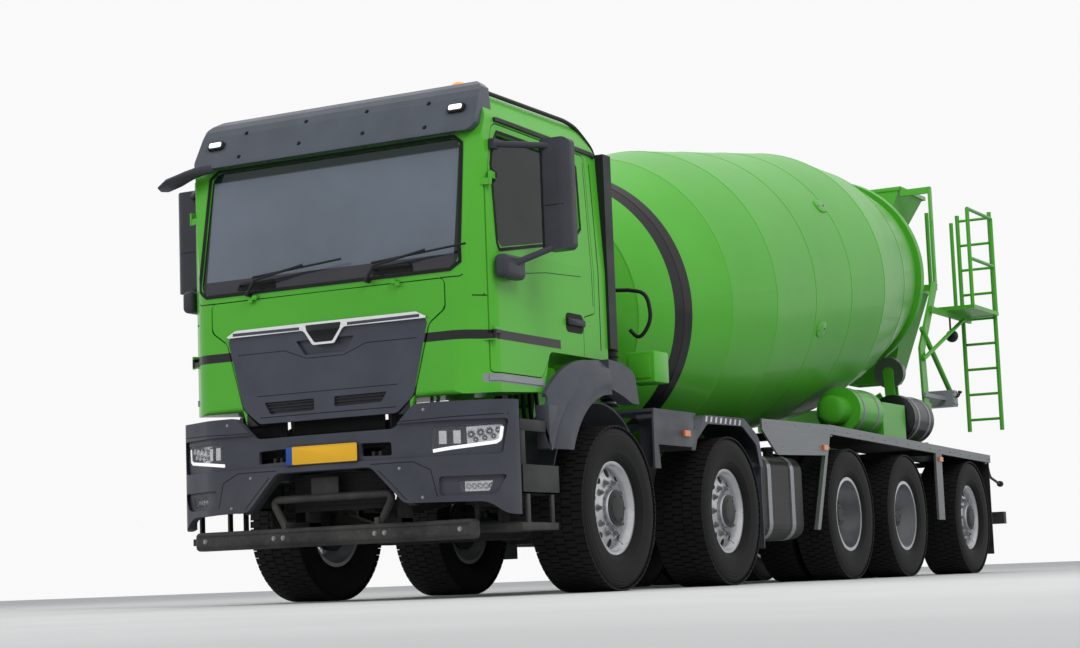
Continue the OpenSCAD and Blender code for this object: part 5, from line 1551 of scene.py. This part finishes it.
bm = bmesh.new()
rim_round(bm, 0.560, 8.0206, 8.7806, 3.880)
rim_round(bm, 0.620, 7.9706, 8.5906, 2.8657)
tube(bm, [place(0.872, 7.500, 2.370), place(0.872, 8.380, 1.730)], 0.026)
add_piece("bin_rims", bm, green_paint, "chassis")
bm = bmesh.new()
for y in (-0.207, 0.207):
    tube(bm, [(-0.858, y, 0.002), (0.268, y, 0.002)], 0.010)
bmesh.ops.transform(bm, verts=bm.verts, matrix=Matrix.Translation(place(-0.130, 8.600, 1.720))
                    @ Matrix.Rotation(radians(-28), 4, "Y"))
add_piece("chute_rims", bm, green_paint, "chute")

# %% [markdown]
# The bar across the end carries a lamp at each side: amber outside, red in the middle and white
# inside. A marker lamp stands out on a bent tube behind each mudguard, and a work lamp lights the
# chute.

# %% Tail lamps
bm = bmesh.new()
glasses = {"amber": (0.124, 0.054, bmesh.new()), "red": (0.0, 0.064, bmesh.new()),
           "white": (-0.124, 0.054, bmesh.new())}
for s in (-1, 1):
    spot = Matrix.Translation(place(s * 0.970, 8.899, 0.540)) @ FACING_REAR
    slab(bm, oblong(0.190, 0.056), spot, 0.024, 0.020, 0.006)
    for across, half, glass in glasses.values():
        slab(glass, oblong(half, 0.044), shifted(spot, s * across, 0, 0.023), 0.010, 0.012, 0.004)
add_piece("tail_cases", bm, black_plastic, "chassis")
add_piece("tail_red", glasses["red"][2], red_lamp, "chassis")
add_piece("tail_amber", glasses["amber"][2], amber_lamp, "chassis")
add_piece("tail_white", glasses["white"][2], white_lamp, "chassis")

work_lamp = place(0.872, 8.400, 2.372)
bm, lens = bmesh.new(), bmesh.new()
for s in (-1, 1):
    foot = place(s * 1.230, 8.560, 0.870)
    tube(bm, [place(s * 1.225, 8.205, 1.05), place(s * 1.230, 8.245, 0.93), foot], 0.013, 0.06)
    spun(bm, [(0, 0), (0.026, 0.0), (0.030, 0.008), (0.030, 0.040)], 24, foot, BACK)
    spun(lens, [(0.029, 0.038), (0.028, 0.052), (0.018, 0.058), (0, 0.060)], 24, foot, BACK)
spun(bm, [(0, 0), (0.040, 0.0), (0.055, 0.016), (0.062, 0.040), (0.062, 0.062)], 32, work_lamp, BACK)
tube(bm, [work_lamp + Vector((0, 0.01, 0)), work_lamp + Vector((0, 0.01, 0.188))], 0.010)
spun(lens, [(0.060, 0.060), (0.040, 0.066), (0, 0.068)], 32, work_lamp, BACK)
add_piece("end_lamp_cases", bm, black_plastic, "chassis")
add_piece("end_lamp_glass", lens, white_lamp, "chassis")

# %% [markdown]
# The control box has a screwed cover and three levers with round knobs.

# %% Control box
bm, levers = bmesh.new(), bmesh.new()
spot = on_left("control_box", 8.147, 1.720)
slab(bm, oblong(0.070, 0.070), spot, 0.006, 0.012, 0.002)
stamp(levers, bolt(0.006, 0.004), [shifted(spot, x, y, 0.006)
                                   for x in (-0.058, 0.058) for y in (-0.058, 0.058)])
for k in (-1, 0, 1):
    foot = spot @ Vector((k * 0.034, 0.010, 0.006))
    tube(levers, [foot, foot + Vector((0.020, 0, 0.004)), foot + Vector((0.045, 0, 0.045))], 0.005, 0.01, 8)
    bmesh.ops.create_icosphere(levers, subdivisions=2, radius=0.012,
                               matrix=Matrix.Translation(foot + Vector((0.047, 0, 0.050))))
add_piece("control_cover", bm, box_paint, "chassis")
add_piece("control_levers", levers, black_plastic, "chassis")
print("rear detailed")

# %% [markdown]
# The stage is plain: a pale floor, a pale sky that only the camera and reflections see at full
# strength, and three large soft lamps.

# %% Floor, sky and lamps
bm = bmesh.new()
bmesh.ops.create_grid(bm, x_segments=1, y_segments=1, size=150.0)
floor_mesh = bpy.data.meshes.new("floor")
bm.to_mesh(floor_mesh)
bm.free()
floor = bpy.data.objects.new("floor", floor_mesh)
bpy.context.scene.collection.objects.link(floor)
floor_paint, shader, where = new_material("floor_paint")
patches = where.noise(0.8, 4.0).rise(0.3, 0.7)
plug(shader, Base_Color=patches.blend(colour(0.62, 0.62, 0.61), colour(0.58, 0.58, 0.57)), Roughness=0.75)
floor_mesh.materials.append(floor_paint)

world = bpy.data.worlds.new("sky")
bpy.context.scene.world = world
world.use_nodes = True
tree = world.node_tree
background = tree.nodes["Background"]
path = tree.nodes.new("ShaderNodeLightPath")
seen = Wire(path.outputs["Is Camera Ray"]) + Wire(path.outputs["Is Glossy Ray"]) \
    + Wire(path.outputs["Is Transmission Ray"])
sky = seen.rise(0.0, 1.0).blend(colour(0.52, 0.54, 0.57), colour(0.95, 0.95, 0.95))
tree.links.new(sky.socket, background.inputs["Color"])
background.inputs["Strength"].default_value = 1.0


def soft_lamp(name, spot, aim, size, power):
    data = bpy.data.lights.new(name, "AREA")
    data.shape = "DISK"
    data.size, data.energy = size, power
    made = bpy.data.objects.new(name, data)
    made.location = spot
    made.visible_glossy = False
    made.rotation_euler = (Vector(aim) - Vector(spot)).to_track_quat("-Z", "Y").to_euler()
    bpy.context.scene.collection.objects.link(made)


soft_lamp("key_lamp", (9, -9, 11), (0, 0, 1.5), 7.0, 1000)
soft_lamp("fill_lamp", (-8, -12, 7), (0, -3, 1.5), 6.0, 420)
soft_lamp("top_lamp", (0, 2, 12), (0, 1, 0), 8.0, 350)
bpy.context.scene.view_settings.view_transform = "Standard"
